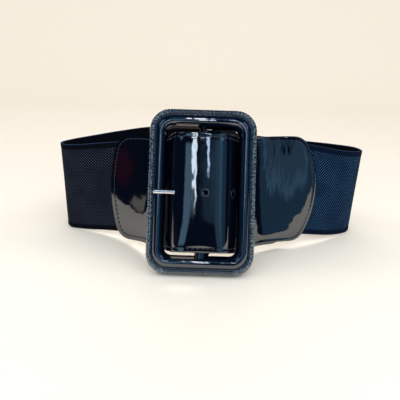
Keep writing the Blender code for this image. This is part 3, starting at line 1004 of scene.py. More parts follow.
@dataclass
class StitchLine:
    """A row of lockstitches, each a short thread that dives into the leather at both ends."""

    pitch: float = 0.0036
    length: float = 0.0029
    thickness: float = 0.00055
    sink: float = 0.25

    def place(self, name: str, route: np.ndarray, level: float, face: Face) -> bpy.types.Object:
        """Models one stitch and copies it along a flat route.

        Args:
            name: the name of the joined stitches.
            route: flat points that the row runs through.
            level: the height of the face under the stitches.
            face: the face that the stitches lie on.

        Returns:
            The row of stitches as one flat piece.
        """
        gaps = np.linalg.norm(np.diff(route, axis=0), axis=1)
        lengths = np.concatenate([[0.0], np.cumsum(gaps)])
        count = int(lengths[-1] / self.pitch)
        wanted = (np.arange(count) + 0.5) * lengths[-1] / count
        ahead = wanted + self.pitch / 10
        middles = np.column_stack([np.interp(wanted, lengths, column) for column in route.T])
        beyond = np.column_stack([np.interp(ahead, lengths, column) for column in route.T])
        angles = np.arctan2(*(beyond - middles).T[::-1])
        single = self._single()
        copies = []
        for middle, angle in zip(middles, angles):
            copy = single.copy()
            copy.data = single.data.copy()
            bpy.context.collection.objects.link(copy)
            copy.matrix_world = Matrix.Translation((*middle, level)) @ Matrix.Rotation(angle, 4, "Z")
            copies.append(copy)
        bpy.data.objects.remove(single)
        row = join_pieces(copies, name)
        if face is Face.INNER:
            points = points_of(row)
            points[:, 2] *= -1
            move_points(row, points)
            row.data.flip_normals()
        return row

    def _single(self) -> bpy.types.Object:
        """Models one stitch: a small capsule, flattened and bowed down at both ends."""
        bpy.ops.object.select_all(action="DESELECT")
        bpy.ops.mesh.primitive_uv_sphere_add(segments=8, ring_count=6, radius=0.5)
        stitch = bpy.context.object
        points = points_of(stitch)[:, [2, 0, 1]]
        stretched = np.sign(points[:, 0]) * np.abs(points[:, 0] * 2) ** 0.7 / 2
        bow = (stretched * 2) ** 2 * self.thickness * (0.5 + self.sink)
        shaped = np.column_stack(
            [
                stretched * self.length,
                points[:, 1] * self.thickness * 1.25,
                points[:, 2] * self.thickness - bow + self.thickness * (0.5 - self.sink),
            ]
        )
        move_points(stitch, shaped)
        smooth(stitch, 60)
        return stitch


def outline_route(cut: FlatCut, inset: float) -> np.ndarray:
    """Runs a closed route inside a cut's outline, as a sewing machine does.

    Args:
        cut: the flat cut, with both its ends rounded.
        inset: the distance from the edge.

    Returns:
        Flat points of the route.
    """
    heights = (cut.height / 2 - inset) * np.sin(np.radians(np.linspace(-90, 90, 61)))
    sides = []
    for end, tip, way in ((cut.right_end, cut.stop, -1), (cut.left_end, cut.start, 1)):
        inner = RoundedEnd(end.height - 2 * inset, end.end_radius - inset, end.corner_radius - inset)
        along = tip + way * (inset + inner.setback(heights))
        sides.append(np.column_stack([along, heights])[::-way])
    return np.vstack([*sides, sides[0][:1]])


def paint_faces(piece: bpy.types.Object, outer: bpy.types.Material, inner: bpy.types.Material) -> None:
    """Gives the two faces of a flat piece their finishes.

    Args:
        piece: the piece, still flat.
        outer: the finish of the outer face and the edges.
        inner: the finish of the inner face.
    """
    piece.data.materials.clear()
    piece.data.materials.append(outer)
    piece.data.materials.append(inner)
    inwards = faces_of(piece, Reading.NORMAL)[:, 2] < -0.8
    piece.data.polygons.foreach_set("material_index", inwards.astype(np.int32))


def cut_holes(piece: bpy.types.Object, cutters: Sequence[bpy.types.Object]) -> None:
    """Cuts holes through a piece and removes the cutters.

    Args:
        piece: the piece that gets the holes.
        cutters: closed meshes.
    """
    for cutter in cutters:
        hole = piece.modifiers.new("hole", "BOOLEAN")
        hole.operation = "DIFFERENCE"
        hole.solver = "EXACT"
        hole.object = cutter
    apply_modifiers(piece)
    for cutter in cutters:
        bpy.data.objects.remove(cutter)


def punch(middle: Vector, along: Vector, diameter: float, depth: float) -> bpy.types.Object:
    """Makes a round punch.

    Args:
        middle: its middle.
        along: its direction.
        diameter: its diameter.
        depth: its length.

    Returns:
        The punch, turned into place.
    """
    bpy.ops.object.select_all(action="DESELECT")
    bpy.ops.mesh.primitive_cylinder_add(vertices=32, radius=diameter / 2, depth=depth)
    made = bpy.context.object
    made.matrix_world = Matrix.Translation(middle) @ along.to_track_quat("Z", "Y").to_matrix().to_4x4()
    return made


def finish_piece(piece: bpy.types.Object, slot: Slot, *nodes: str) -> None:
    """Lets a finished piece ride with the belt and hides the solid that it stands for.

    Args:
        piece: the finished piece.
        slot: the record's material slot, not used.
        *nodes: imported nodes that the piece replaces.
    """
    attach(piece, "root")
    if nodes:
        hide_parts(*nodes)
    LOG.info("%s: %d faces", piece.name, len(piece.data.polygons))


@dataclass
class ElasticBand:
    """The woven elastic with its plain woven edges."""

    loop: Loop
    seam_overlap: float = 0.022
    strap_left: float = 0.0965
    edge_rounding: float = 0.0007
    column_step: float = 0.0016
    row_step: float = 0.0026
    edge_band: float = 0.0035
    edge_rise: float = 0.00022
    wave_rise: float = 0.00025

    @property
    def start(self) -> float:
        """Where the elastic starts along the band line, inside the tab."""
        return self.loop.sizes.tab_length - self.seam_overlap

    @property
    def stop(self) -> float:
        """Where the elastic stops along the band line, behind the strap's sewn end."""
        return self.loop.line.total - self.strap_left + self.seam_overlap

    def _relief(self, points: np.ndarray, margins: np.ndarray) -> np.ndarray:
        """The outer face: corded edges, and slow waves where the elastic was stretched unevenly."""
        cord = np.clip(1 - np.abs(margins - self.edge_band / 2) / (self.edge_band / 2), 0, 1)
        waves = noise_at(points * np.array([1, 1, 0]), (28, 40, 1), 3.7)
        return self.edge_rise * cord + self.wave_rise * waves

    def _inset(self, lengths: np.ndarray) -> np.ndarray:
        """How far inside the band line the elastic lies: deeper in the tab than behind the strap."""
        sizes = self.loop.sizes
        inside_left = sizes.strap_wall / 2 + sizes.clearance + sizes.elastic_wall / 2
        deeper = sizes.tab_wall + sizes.clearance
        return inside_left + deeper * (self.stop - lengths) / (self.stop - self.start)

    def _real_length(self) -> float:
        """The elastic's length as it is worn, along its own middle."""
        lengths = np.linspace(self.start, self.stop, 600)
        places, _, normals = self.loop.line.at(lengths)
        middle = places - normals * self._inset(lengths)[:, None]
        return float(np.linalg.norm(np.diff(middle, axis=0), axis=1).sum())

    def build(self, weave: bpy.types.Material, shaded_reverse: bpy.types.Material) -> None:
        """Cuts, dresses and wraps the elastic.

        Args:
            weave: the finish of its outer face.
            shaded_reverse: the finish of its inner face, drawn near black as painted shade.
        """
        height = self.loop.sizes.elastic_height
        cut = FlatCut(
            self.start,
            self.stop,
            height,
            self.loop.sizes.elastic_wall,
            edge_rounding=self.edge_rounding,
            column_step=self.column_step,
            row_step=self.row_step,
        )
        band = cut.make("woven_elastic_band", self._relief)
        # The inner face takes the near-black painted shade.
        paint_faces(band, weave, shaded_reverse)
        self.loop.line.wrap(band, self._inset)
        smooth(band)
        finish_piece(band, Slot.ELASTIC, "elastic_band")
        length = self._real_length()
        LOG.info("elastic: %.0f x %.0f mm flat", height / MM, length / MM)


@dataclass
class LeatherStrap:
    """The patent strap with its holes, its stitching and its crinkled hole rims."""

    loop: Loop
    left_length: float = 0.0965
    right_length: float = 0.1110
    left_radius: float = 0.125
    tip_radius: float = 0.078
    corner_radius: float = 0.0135
    stitch_inset: float = 0.0031
    groove_depth: float = 0.00020
    groove_width: float = 0.0006
    padding: float = 0.00025
    hole_diameter: float = 0.0038
    hole_spacing: float = 0.0220
    rim_radius: float = 0.0026
    rim_thickness: float = 0.0009
    rim_lobes: int = 7
    rim_crinkle: float = 0.00030
    # Where the painted shade on the strap's bends stops, out of the frame and across it
    shade_level: float = 0.001
    shade_reach: float = 1.36
    curl_start: float = -0.016
    curl_depth: float = 0.0022
    curl_reach: float = 0.024
    swell_rise: float = 0.00010
    tip_wrinkle: float = 0.00016
    sewn_crease: float = 0.00028

    def _relief(self, points: np.ndarray, margins: np.ndarray) -> np.ndarray:
        """The outer face: a sewn groove, soft padding inside it and the wrinkles of worn patent leather."""
        groove = self.groove_depth * np.exp(-(((margins - self.stitch_inset) / self.groove_width) ** 2))
        inside = ramp_between(margins, self.stitch_inset, self.stitch_inset + 0.005)
        flat = points * np.array([1, 1, 0])
        along, up, _ = points.T
        swells = self.swell_rise * noise_at(flat, (14, 26, 1), 1.3)
        # Upright wrinkles on the free tip, stronger in its upper half.
        on_tip = ramp_between(along, 0.048, 0.060) * ramp_between(along, 0.098, 0.078)
        upper = np.maximum(ramp_between(up, -0.012, 0.018), 0.25)
        wrinkles = self.tip_wrinkle * on_tip * upper * noise_at(flat, (1.6, 9, 1), 8.1)
        # Short creases where the strap is sewn to the elastic.
        sewn = ramp_between(along, -0.036, -0.044)
        creases = self.sewn_crease * sewn * noise_at(flat, (2.4, 6, 1), 5.2)
        return self.padding * ease(inside) - groove + swells + inside * (wrinkles + creases)

    def build(
        self,
        patent: bpy.types.Material,
        rim_glints: bpy.types.Material,
        shaded_bends: bpy.types.Material,
        lining: bpy.types.Material,
        thread: bpy.types.Material,
        prong: "Prong",
    ) -> None:
        """Cuts, sews, punches and wraps the strap.

        Args:
            patent: the finish of its face.
            rim_glints: the finish of its hole rims, drawn lighter as a painted highlight.
            shaded_bends: the finish of its bends beside the frame, dulled as painted shade.
            lining: the finish of its back.
            thread: the finish of its stitches.
            prong: the prong, which passes through the first hole.
        """
        sizes = self.loop.sizes
        height = sizes.strap_height
        cut = FlatCut(
            -self.left_length,
            self.right_length,
            height,
            sizes.strap_wall,
            RoundedEnd(height, self.left_radius, self.corner_radius),
            RoundedEnd(height, self.tip_radius, self.corner_radius),
        )
        leather = cut.make("patent_leather_strap", self._relief)
        paint_faces(leather, patent, lining)
        route = outline_route(cut, self.stitch_inset)
        groove_floor = sizes.strap_wall / 2 - self.groove_depth
        stitches = StitchLine().place("strap_stitches", route, groove_floor, Face.OUTER)
        stitches.data.materials.append(thread)
        first = prong.hole_length()
        rims = self._rims([first + self.hole_spacing, first + 2 * self.hole_spacing])
        # The rims take the lighter painted highlight.
        rims.data.materials.append(rim_glints)
        line = self.loop.line
        for piece in (leather, stitches, rims):
            self._curl(piece)
            line.wrap(piece)
        places, _, normals = line.at(first + self.hole_spacing * np.arange(3))
        start, tip = prong.axis()
        slant = (self.loop.buckle.to_3x3() @ (tip - start)).normalized()
        depth = 4 * sizes.strap_wall
        punches = [punch(Vector(places[0]), slant, sizes.prong_diameter + 2 * sizes.clearance, depth)]
        for place, normal in zip(places[1:], normals[1:]):
            punches.append(punch(Vector(place), Vector(normal), self.hole_diameter, depth))
        cut_holes(leather, punches)
        self._shade_bends(leather, shaded_bends)
        smooth(leather)
        smooth(rims, 60)
        finish_piece(leather, Slot.PATENT, "strap")
        finish_piece(stitches, Slot.PATENT)
        finish_piece(rims, Slot.PATENT)

    def _shade_bends(self, leather: bpy.types.Object, shaded_bends: bpy.types.Material) -> None:
        """Dulls the lacquer where the strap bends back beside the frame's sides: painted shade for the strips
        that lie in the frame's shadow.
        """
        slots = np.empty(len(leather.data.polygons), np.int32)
        leather.data.polygons.foreach_get("material_index", slots)
        across, _, out = self.loop.to_buckle(faces_of(leather, Reading.MIDDLE)).T
        in_bend = (np.abs(across) < self.shade_reach * self.loop.sizes.window_half) & (out < self.shade_level)
        leather.data.materials.append(shaded_bends)
        slots[in_bend & (slots == 0)] = len(leather.data.materials) - 1
        leather.data.polygons.foreach_set("material_index", slots)

    def _curl(self, piece: bpy.types.Object) -> None:
        """Turns the lower edge back a little where the strap stands free over the bar."""
        points = points_of(piece)
        below = ramp_between(points[:, 1], self.curl_start, -self.loop.sizes.strap_height / 2)
        free = ramp_between(np.abs(points[:, 0]), self.curl_reach, 0)
        points[:, 2] -= self.curl_depth * below**2 * ease(free)
        move_points(piece, points)

    def _rims(self, lengths: Sequence[float]) -> bpy.types.Object:
        """Models the crinkled hole rims, where the punch pushed the lacquer up."""
        rims = []
        for number, length in enumerate(lengths):
            bpy.ops.object.select_all(action="DESELECT")
            bpy.ops.mesh.primitive_torus_add(
                major_segments=72,
                minor_segments=10,
                major_radius=self.rim_radius,
                minor_radius=self.rim_thickness / 2,
            )
            rim = bpy.context.object
            points = points_of(rim)
            turn = np.arctan2(points[:, 1], points[:, 0])
            lobes = np.cos(self.rim_lobes * turn + 1.3 * np.sin(3 * turn + number))
            radius = np.hypot(points[:, 0], points[:, 1]) + self.rim_crinkle * lobes
            points[:, 0] = length + radius * np.cos(turn)
            points[:, 1] = radius * np.sin(turn)
            points[:, 2] = points[:, 2] * (0.85 + 0.35 * lobes) + self.loop.sizes.strap_wall / 2 + 0.0001
            move_points(rim, points)
            rims.append(rim)
        joined = join_pieces(rims, "strap_hole_rims")
        map_flat(joined)
        return joined


@dataclass
class BuckleTab:
    """The leather tab: folded round the bar, with the elastic's end sewn between its two layers."""

    loop: Loop
    drop: float = 0.0016
    corner_radius: float = 0.009
    end_radius: float = 0.3
    edge_rounding: float = 0.0006
    column_step: float = 0.0012
    row_step: float = 0.0026
    slot_margin: float = 0.001
    stitch_inset: float = 0.0031
    stitch_sink: float = 0.0002
    stitch_start: float = 0.035
    fold_steps: int = 40
    arch_rise: float = 0.0050
    arch_reach: float = 0.046
    arch_front: float = 0.35
    arch_growth: float = 0.013
    arch_behind: float = 1.15
    behind_start: float = 0.012
    behind_full: float = 0.020
    foot_reach: float = 0.012

    def _layer(self, inside: float, lengths: np.ndarray) -> tuple[np.ndarray, np.ndarray]:
        """Points and rises of one layer, which follows the band line at a distance inside it."""
        places, rises, normals = self.loop.line.at(lengths)
        return places - normals * inside - rises * self.drop, rises

    def path(self) -> tuple[Path, float]:
        """The way from the front layer's end to the bar, round it and back along the back layer.

        Returns:
            The path, and the length at which it is halfway round the bar.
        """
        sizes = self.loop.sizes
        round_bar = sizes.bar_diameter / 2 + sizes.clearance + sizes.tab_wall / 2
        front_inside = sizes.strap_wall / 2 + sizes.clearance + sizes.tab_wall / 2
        back_inside = front_inside + sizes.tab_wall + 2 * sizes.clearance + sizes.elastic_wall
        lengths = np.linspace(0, sizes.tab_length, 400)
        across = self.loop.to_buckle(self.loop.line.at(lengths)[0])[:, 0]
        first = float(lengths[np.argmax(across > (sizes.frame_width - sizes.frame_side) / 2)])
        along = np.linspace(sizes.tab_length, first, 90)
        front, front_rises = self._layer(front_inside, along)
        back, back_rises = self._layer(back_inside, along[::-1])
        from_front = self._tangent(front[-1], round_bar, 1)
        to_back = self._tangent(back[0], round_bar, -1) + 2 * math.pi
        steps = self.fold_steps
        angles = np.linspace(from_front, to_back, steps)
        across, out = round_bar * np.cos(angles), round_bar * np.sin(angles)
        turned = self.loop.in_buckle(np.column_stack([across, np.full(steps, -self.drop), out]))
        up = np.tile(np.array(self.loop.buckle.to_3x3() @ Vector((0, 1, 0))), (steps, 1))
        before = self._straight(front[-1], turned[0], front_rises[-1], up[0])
        after = self._straight(turned[-1], back[0], up[0], back_rises[0])
        places = np.vstack([front, before[0], turned, after[0], back])
        rises = np.vstack([front_rises, before[1], up, after[1], back_rises])
        ahead = np.gradient(places, axis=0)
        normals = np.cross(ahead, rises)
        normals /= np.linalg.norm(normals, axis=1)[:, None]
        path = Path(places, rises, normals)
        halfway = float(path.lengths[len(front) + len(before[0]) + steps // 2])
        return path, halfway

    def _arch(self, leather: bpy.types.Object, halfway: float) -> None:
        """Lets the fold fill the window: a wide arch above the strap and a narrow foot below it."""
        points = points_of(leather)
        past, up, _ = points.T - np.array([[halfway], [0], [0]])
        away = np.abs(past)
        edge = np.clip(np.abs(up) / (self.loop.sizes.strap_height / 2), 0, 1) ** 4
        reach = np.where(up > 0, self.arch_reach, self.foot_reach)
        rise = self.arch_rise * edge * ease(ramp_between(away, reach, 0.7 * reach))
        # The arch grows from the fold, and the back layer, which is clear of the frame, stands higher.
        grown = (1 - self.arch_front) * ease(ramp_between(away, 0, self.arch_growth))
        behind = self.arch_behind * ramp_between(past, self.behind_start, self.behind_full)
        rise *= np.where(up > 0, self.arch_front + grown + behind, 1.0)
        points[:, 1] += np.sign(up) * rise
        move_points(leather, points)

    def _straight(
        self, start: np.ndarray, end: np.ndarray, start_rise: np.ndarray, end_rise: np.ndarray
    ) -> tuple[np.ndarray, np.ndarray]:
        """Points and rises of a straight run between two places, without its ends."""
        shares = np.linspace(0, 1, 22)[1:-1, None]
        return start + (end - start) * shares, start_rise + (end_rise - start_rise) * shares

    def _tangent(self, place: np.ndarray, radius: float, side: int) -> float:
        """The angle round the bar at which a straight run from a place meets the fold."""
        across, _, out = self.loop.to_buckle(place[None])[0]
        return math.atan2(out, across) + side * math.acos(radius / math.hypot(across, out))

    def build(
        self, patent: bpy.types.Material, lining: bpy.types.Material, thread: bpy.types.Material
    ) -> None:
        """Cuts, sews, folds and slots the tab.

        Args:
            patent: the finish of its outer face.
            lining: the finish of the face against the elastic.
            thread: the finish of its stitches.
        """
        sizes = self.loop.sizes
        path, halfway = self.path()
        height = sizes.strap_height
        end = RoundedEnd(height, self.end_radius, self.corner_radius)
        cut = FlatCut(
            0.0,
            path.total,
            height,
            sizes.tab_wall,
            end,
            end,
            edge_rounding=self.edge_rounding,
            column_step=self.column_step,
            row_step=self.row_step,
        )
        leather = cut.make("patent_leather_tab")
        # The path's outward side is the inside of the fold, so the grain side is the flat piece's inner face.
        paint_faces(leather, lining, patent)
        self._arch(leather, halfway)
        route = outline_route(cut, self.stitch_inset)
        sewn = route[route[:, 0] >= halfway + self.stitch_start]
        stitches = StitchLine().place("tab_stitches", sewn, sizes.tab_wall / 2 - self.stitch_sink, Face.INNER)
        for piece in (leather, stitches):
            path.wrap(piece)
        slot_width = sizes.bar_diameter + 2 * (sizes.prong_diameter + sizes.clearance + self.slot_margin)
        bpy.ops.object.select_all(action="DESELECT")
        bpy.ops.mesh.primitive_cube_add(size=1)
        slot = bpy.context.object
        spans = (slot_width, sizes.prong_diameter + 2 * self.slot_margin, 2 * slot_width)
        slot.matrix_world = (
            self.loop.buckle @ Matrix.Translation((0, -sizes.prong_drop, 0)) @ Matrix.Diagonal((*spans, 1.0))
        )
        cut_holes(leather, [slot])
        smooth(leather)
        finish_piece(leather, Slot.PATENT, "buckle_tab")
        stitches.data.materials.append(thread)
        finish_piece(stitches, Slot.PATENT)


# The frame's section, from its outside over the gathered bead and the crest to the window and round the back
# inwards: share of the member's width; level: share of the rise in front and of the depth behind
FRAME_SECTION = (
    (0.000, -0.05),
    (0.012, 0.20),
    (0.055, 0.43),
    (0.125, 0.56),
    (0.200, 0.59),
    (0.262, 0.53),
    (0.300, 0.43),
    (0.335, 0.46),
    (0.380, 0.63),
    (0.450, 0.83),
    (0.540, 0.96),
    (0.640, 1.00),
    (0.740, 0.96),
    (0.835, 0.77),
    (0.915, 0.46),
    (0.970, 0.16),
    (1.000, -0.14),
    (1.000, -0.60),
    (0.965, -0.88),
    (0.880, -1.00),
    (0.590, -1.00),
    (0.300, -1.00),
    (0.120, -0.92),
    (0.025, -0.55),
)


@dataclass
class CoveredFrame:
    """The buckle's frame, covered with patent leather that is gathered in pleats over its outer bead."""

    loop: Loop
    corner_radius: float = 0.0150
    window_radius: float = 0.0058
    step: float = 0.00034
    pleat_pitch: float = 0.0025
    pleat_depth: float = 0.00062
    pleat_slant: float = 0.5
    bead_reach: float = 0.33
    # The top and bottom get less of the painted pleat highlight than the sides
    end_glints: float = 0.20
    wall_level: float = 0.35

    def _around(self) -> tuple[np.ndarray, np.ndarray]:
        """Stations round the frame.

        Returns:
            For each station its corner's signs, its turn in the corner, its share of the straight after it
            and its distance round the outside.
        """
        sizes = self.loop.sizes
        straight_end = sizes.frame_width - 2 * self.corner_radius
        straight_side = sizes.frame_height - 2 * self.corner_radius
        arc = self.corner_radius * math.pi / 2
        corners = ((1, 1), (-1, 1), (-1, -1), (1, -1))
        found = []
        round_lengths = []
        walked = 0.0
        for quarter, (side, end) in enumerate(corners):
            straight = straight_end if quarter % 2 == 0 else straight_side
            next_side, next_end = corners[(quarter + 1) % 4]
            for count, length, in_corner in (
                (round(arc / self.step), arc, True),
                (round(straight / self.step), straight, False),
            ):
                for i in range(count):
                    share = i / count
                    turn = math.pi / 2 * (quarter + (share if in_corner else 1.0))
                    along = 0.0 if in_corner else share
                    found.append((side, end, next_side, next_end, turn, along))
                    round_lengths.append(walked + share * length)
                walked += length
        return np.array(found), np.array(round_lengths)

    def _section(self) -> np.ndarray:
        """A fine smooth section, as shares."""
        rows = [(inwards * 2, level, 0.0) for inwards, level in FRAME_SECTION]
        fine = smooth_loop(rows, 3, 2)
        fine[:, 0] /= 2
        return fine[:, :2]

    def build(self, covering: bpy.types.Material, window_shade: bpy.types.Material) -> None:
        """Shapes a ring into the frame and gathers its covering.

        Args:
            covering: the covering's finish.
            window_shade: the finish of the wall round the window, where the covering is turned in, drawn
                darker and duller as painted shade.
        """
        sizes = self.loop.sizes
        around, walked = self._around()
        section = self._section()
        ring, column, row = new_grid("covered_buckle_frame", len(around) + 1, len(section) + 1)
        station, spot = column % len(around), row % len(section)
        side, end, next_side, next_end, turn, along = around[station].T
        inwards = section[spot, 0]
        levels = section[spot, 1] * np.where(section[spot, 1] > 0, sizes.frame_rise, sizes.frame_back)
        radius = self.corner_radius + inwards * (self.window_radius - self.corner_radius)
        half_width = sizes.frame_width / 2 - inwards * sizes.frame_side - radius
        half_height = sizes.frame_height / 2 - inwards * sizes.frame_end - radius
        centre_x = half_width * (side + (next_side - side) * along)
        centre_y = half_height * (end + (next_end - end) * along)
        places = np.column_stack(
            [centre_x + radius * np.cos(turn), centre_y + radius * np.sin(turn), levels]
        )
        outwards = self._section_normals(section)[spot]
        directions = np.column_stack(
            [np.cos(turn) * outwards[:, 0], np.sin(turn) * outwards[:, 0], outwards[:, 1]]
        )
        raised, crease_glints = self._gathers(section, spot, walked[station], places)
        places += directions * raised[:, None]
        # The pleats' painted highlight is stored on the points for the covering's material
        layer = ring.data.attributes.new(CREASE_GLINTS, "FLOAT", "POINT")
        layer.data.foreach_set("value", crease_glints)
        move_points(ring, self.loop.in_buckle(places))
        close_seams(ring)
        ring.data.materials.append(covering)
        # The wall round the window takes the darker, duller painted shade.
        ring.data.materials.append(window_shade)
        self._paint_window_wall(ring)
        smooth(ring, 75)
        finish_piece(ring, Slot.FRAME, "buckle_frame")

    def _paint_window_wall(self, ring: bpy.types.Object) -> None:
        """Gives the wall round the window a darker, duller finish: painted shade in the window's recess."""
        facing = (faces_of(ring, Reading.NORMAL) @ np.array(self.loop.buckle.to_3x3()))[:, :2]
        places = self.loop.to_buckle(faces_of(ring, Reading.MIDDLE))
        inwards = -np.sum(facing * np.sign(places[:, :2]) * (np.abs(facing) > 0.3), axis=1)
        wall = (inwards > 0.8) & (places[:, 2] < self.wall_level * self.loop.sizes.frame_rise)
        ring.data.polygons.foreach_set("material_index", wall.astype(np.int32))

    def _section_normals(self, section: np.ndarray) -> np.ndarray:
        """Outward directions of the section in its own plane: away from the window, and forwards."""
        sizes = self.loop.sizes
        real = np.column_stack([-section[:, 0] * sizes.frame_side, section[:, 1] * sizes.frame_rise])
        ahead = np.roll(real, -1, axis=0) - np.roll(real, 1, axis=0)
        normals = np.column_stack([ahead[:, 1], -ahead[:, 0]])
        return normals / np.linalg.norm(normals, axis=1)[:, None]

    def _gathers(
        self, section: np.ndarray, spot: np.ndarray, walked: np.ndarray, places: np.ndarray
    ) -> tuple[np.ndarray, np.ndarray]:
        """How far the gathered covering stands up, in rounded pleats over the bead, and how much painted
        highlight each pleat gets.
        """
        inwards, level = section[spot].T
        bead = ramp_between(inwards, self.bead_reach, self.bead_reach - 0.10)
        bead = bead * ramp_between(level, -0.8, -0.3)
        slanted = walked + self.pleat_slant * inwards * self.loop.sizes.frame_side
        phase = slanted / self.pleat_pitch + 0.55 * noise_at(places, (5, 5, 5), 2.2)
        pleats = np.abs(np.sin(math.pi * phase)) ** 0.6 - 0.6
        strength = 0.55 + 0.45 * noise_at(places, (3.1, 3.1, 3.1), 6.4)
        body = 0.00004 * noise_at(places, (6, 6, 6), 4.4) * (level > -0.9)
        at_side = np.abs(places[:, 0]) > self.loop.sizes.frame_width / 2 - self.corner_radius
        # Painted highlight: strongest on the pleat ridges, and full only on the frame's sides, where the side
        # lights fall
        crease_glints = np.clip(bead * (0.35 + pleats * strength), 0, 1) * np.where(at_side, 1.0, self.end_glints)
        return self.pleat_depth * bead * pleats * strength + body, crease_glints


@dataclass
class Prong:
    """The nickel prong: a rod looped round the bar, with a rounded tip on the frame's left side."""

    loop: Loop
    loop_turn: float = 300.0

    def axis(self) -> tuple[Vector, Vector]:
        """The straight stretch in buckle space, from over the bar to past the frame's crest."""
        sizes = self.loop.sizes
        over_bar = sizes.bar_diameter / 2 + sizes.clearance + sizes.prong_diameter / 2
        over_crest = sizes.frame_rise + 2 * sizes.clearance + sizes.prong_diameter / 2
        crest = max(FRAME_SECTION, key=lambda row: row[1])[0]
        reach = sizes.window_half + sizes.prong_rest
        to_crest = sizes.frame_width / 2 - crest * sizes.frame_side
        tip_level = over_bar + (over_crest - over_bar) * reach / to_crest
        return Vector((0, -sizes.prong_drop, over_bar)), Vector((-reach, -sizes.prong_drop, tip_level))

    def hole_length(self) -> float:
        """The length along the band line at which the prong comes through the strap."""
        start, tip = self.axis()
        lengths = np.linspace(-2 * self.loop.sizes.window_half, -self.loop.sizes.bar_diameter, 400)
        places = self.loop.to_buckle(self.loop.line.at(lengths)[0])
        misses = np.abs(places[:, 2] - (start.z + (tip.z - start.z) * places[:, 0] / tip.x))
        return float(lengths[np.argmin(misses)])

    def build(self, metal: bpy.types.Material) -> None:
        """Bends a round wire along the prong's way and rounds both its ends.

        Args:
            metal: the prong's finish.
        """
        sizes = self.loop.sizes
        start, tip = self.axis()
        radius = sizes.prong_diameter / 2
        straight = [tip.lerp(start, share) for share in np.linspace(0, 1, 30)]
        turns = np.radians(90 - np.linspace(0, self.loop_turn, 40)[1:])
        bend = [Vector((start.z * math.cos(a), -sizes.prong_drop, start.z * math.sin(a))) for a in turns]
        places = self._with_round_ends([*straight, *bend], radius)
        bpy.ops.object.select_all(action="DESELECT")
        bpy.ops.curve.primitive_bezier_curve_add()
        wire = bpy.context.object
        wire.name = "nickel_prong"
        wire.data.splines.clear()
        spline = wire.data.splines.new("POLY")
        spline.points.add(len(places) - 1)
        for point, (place, share) in zip(spline.points, places):
            point.co = (*(self.loop.buckle @ place), 1)
            point.radius = share
        wire.data.dimensions = "3D"
        wire.data.bevel_depth = radius
        wire.data.bevel_resolution = 7
        wire.data.use_fill_caps = True
        pick(wire)
        bpy.ops.object.convert(target="MESH")
        rod = bpy.context.object
        close_seams(rod)
        rod.data.materials.clear()
        rod.data.materials.append(metal)
        smooth(rod, 60)
        finish_piece(rod, Slot.NICKEL, "prong")

    def _with_round_ends(self, places: list[Vector], radius: float) -> list[tuple[Vector, float]]:
        """Adds points that close the wire as half a ball at each end.

        Args:
            places: the wire's middle line.
            radius: the wire's radius.

        Returns:
            Places with their share of the full radius.
        """
        turns = np.radians(np.linspace(4, 80, 9))
        first = (places[0] - places[1]).normalized()
        last = (places[-1] - places[-2]).normalized()
        middle = [place for place in places if (place - places[0]).length > radius]
        start = places[0] - first * radius
        head = [(start + first * radius * math.cos(a), math.sin(a)) for a in turns]
        foot = [(places[-1] + last * radius * math.cos(a), math.sin(a)) for a in turns[::-1]]
        return [*head, (start, 1.0), *((place, 1.0) for place in middle), *foot]


@dataclass(frozen=True)
class Softbox:
    """One soft light: where it stands as seen from the buckle, its size, its power and its colour."""

    name: str
    azimuth: float
    elevation: float
    distance: float
    width: float
    height: float
    watts: float
    colour: str = "#ffffff"
    feather: float = 0.0
    roll: float = 0.0
    mirrored: bool = True


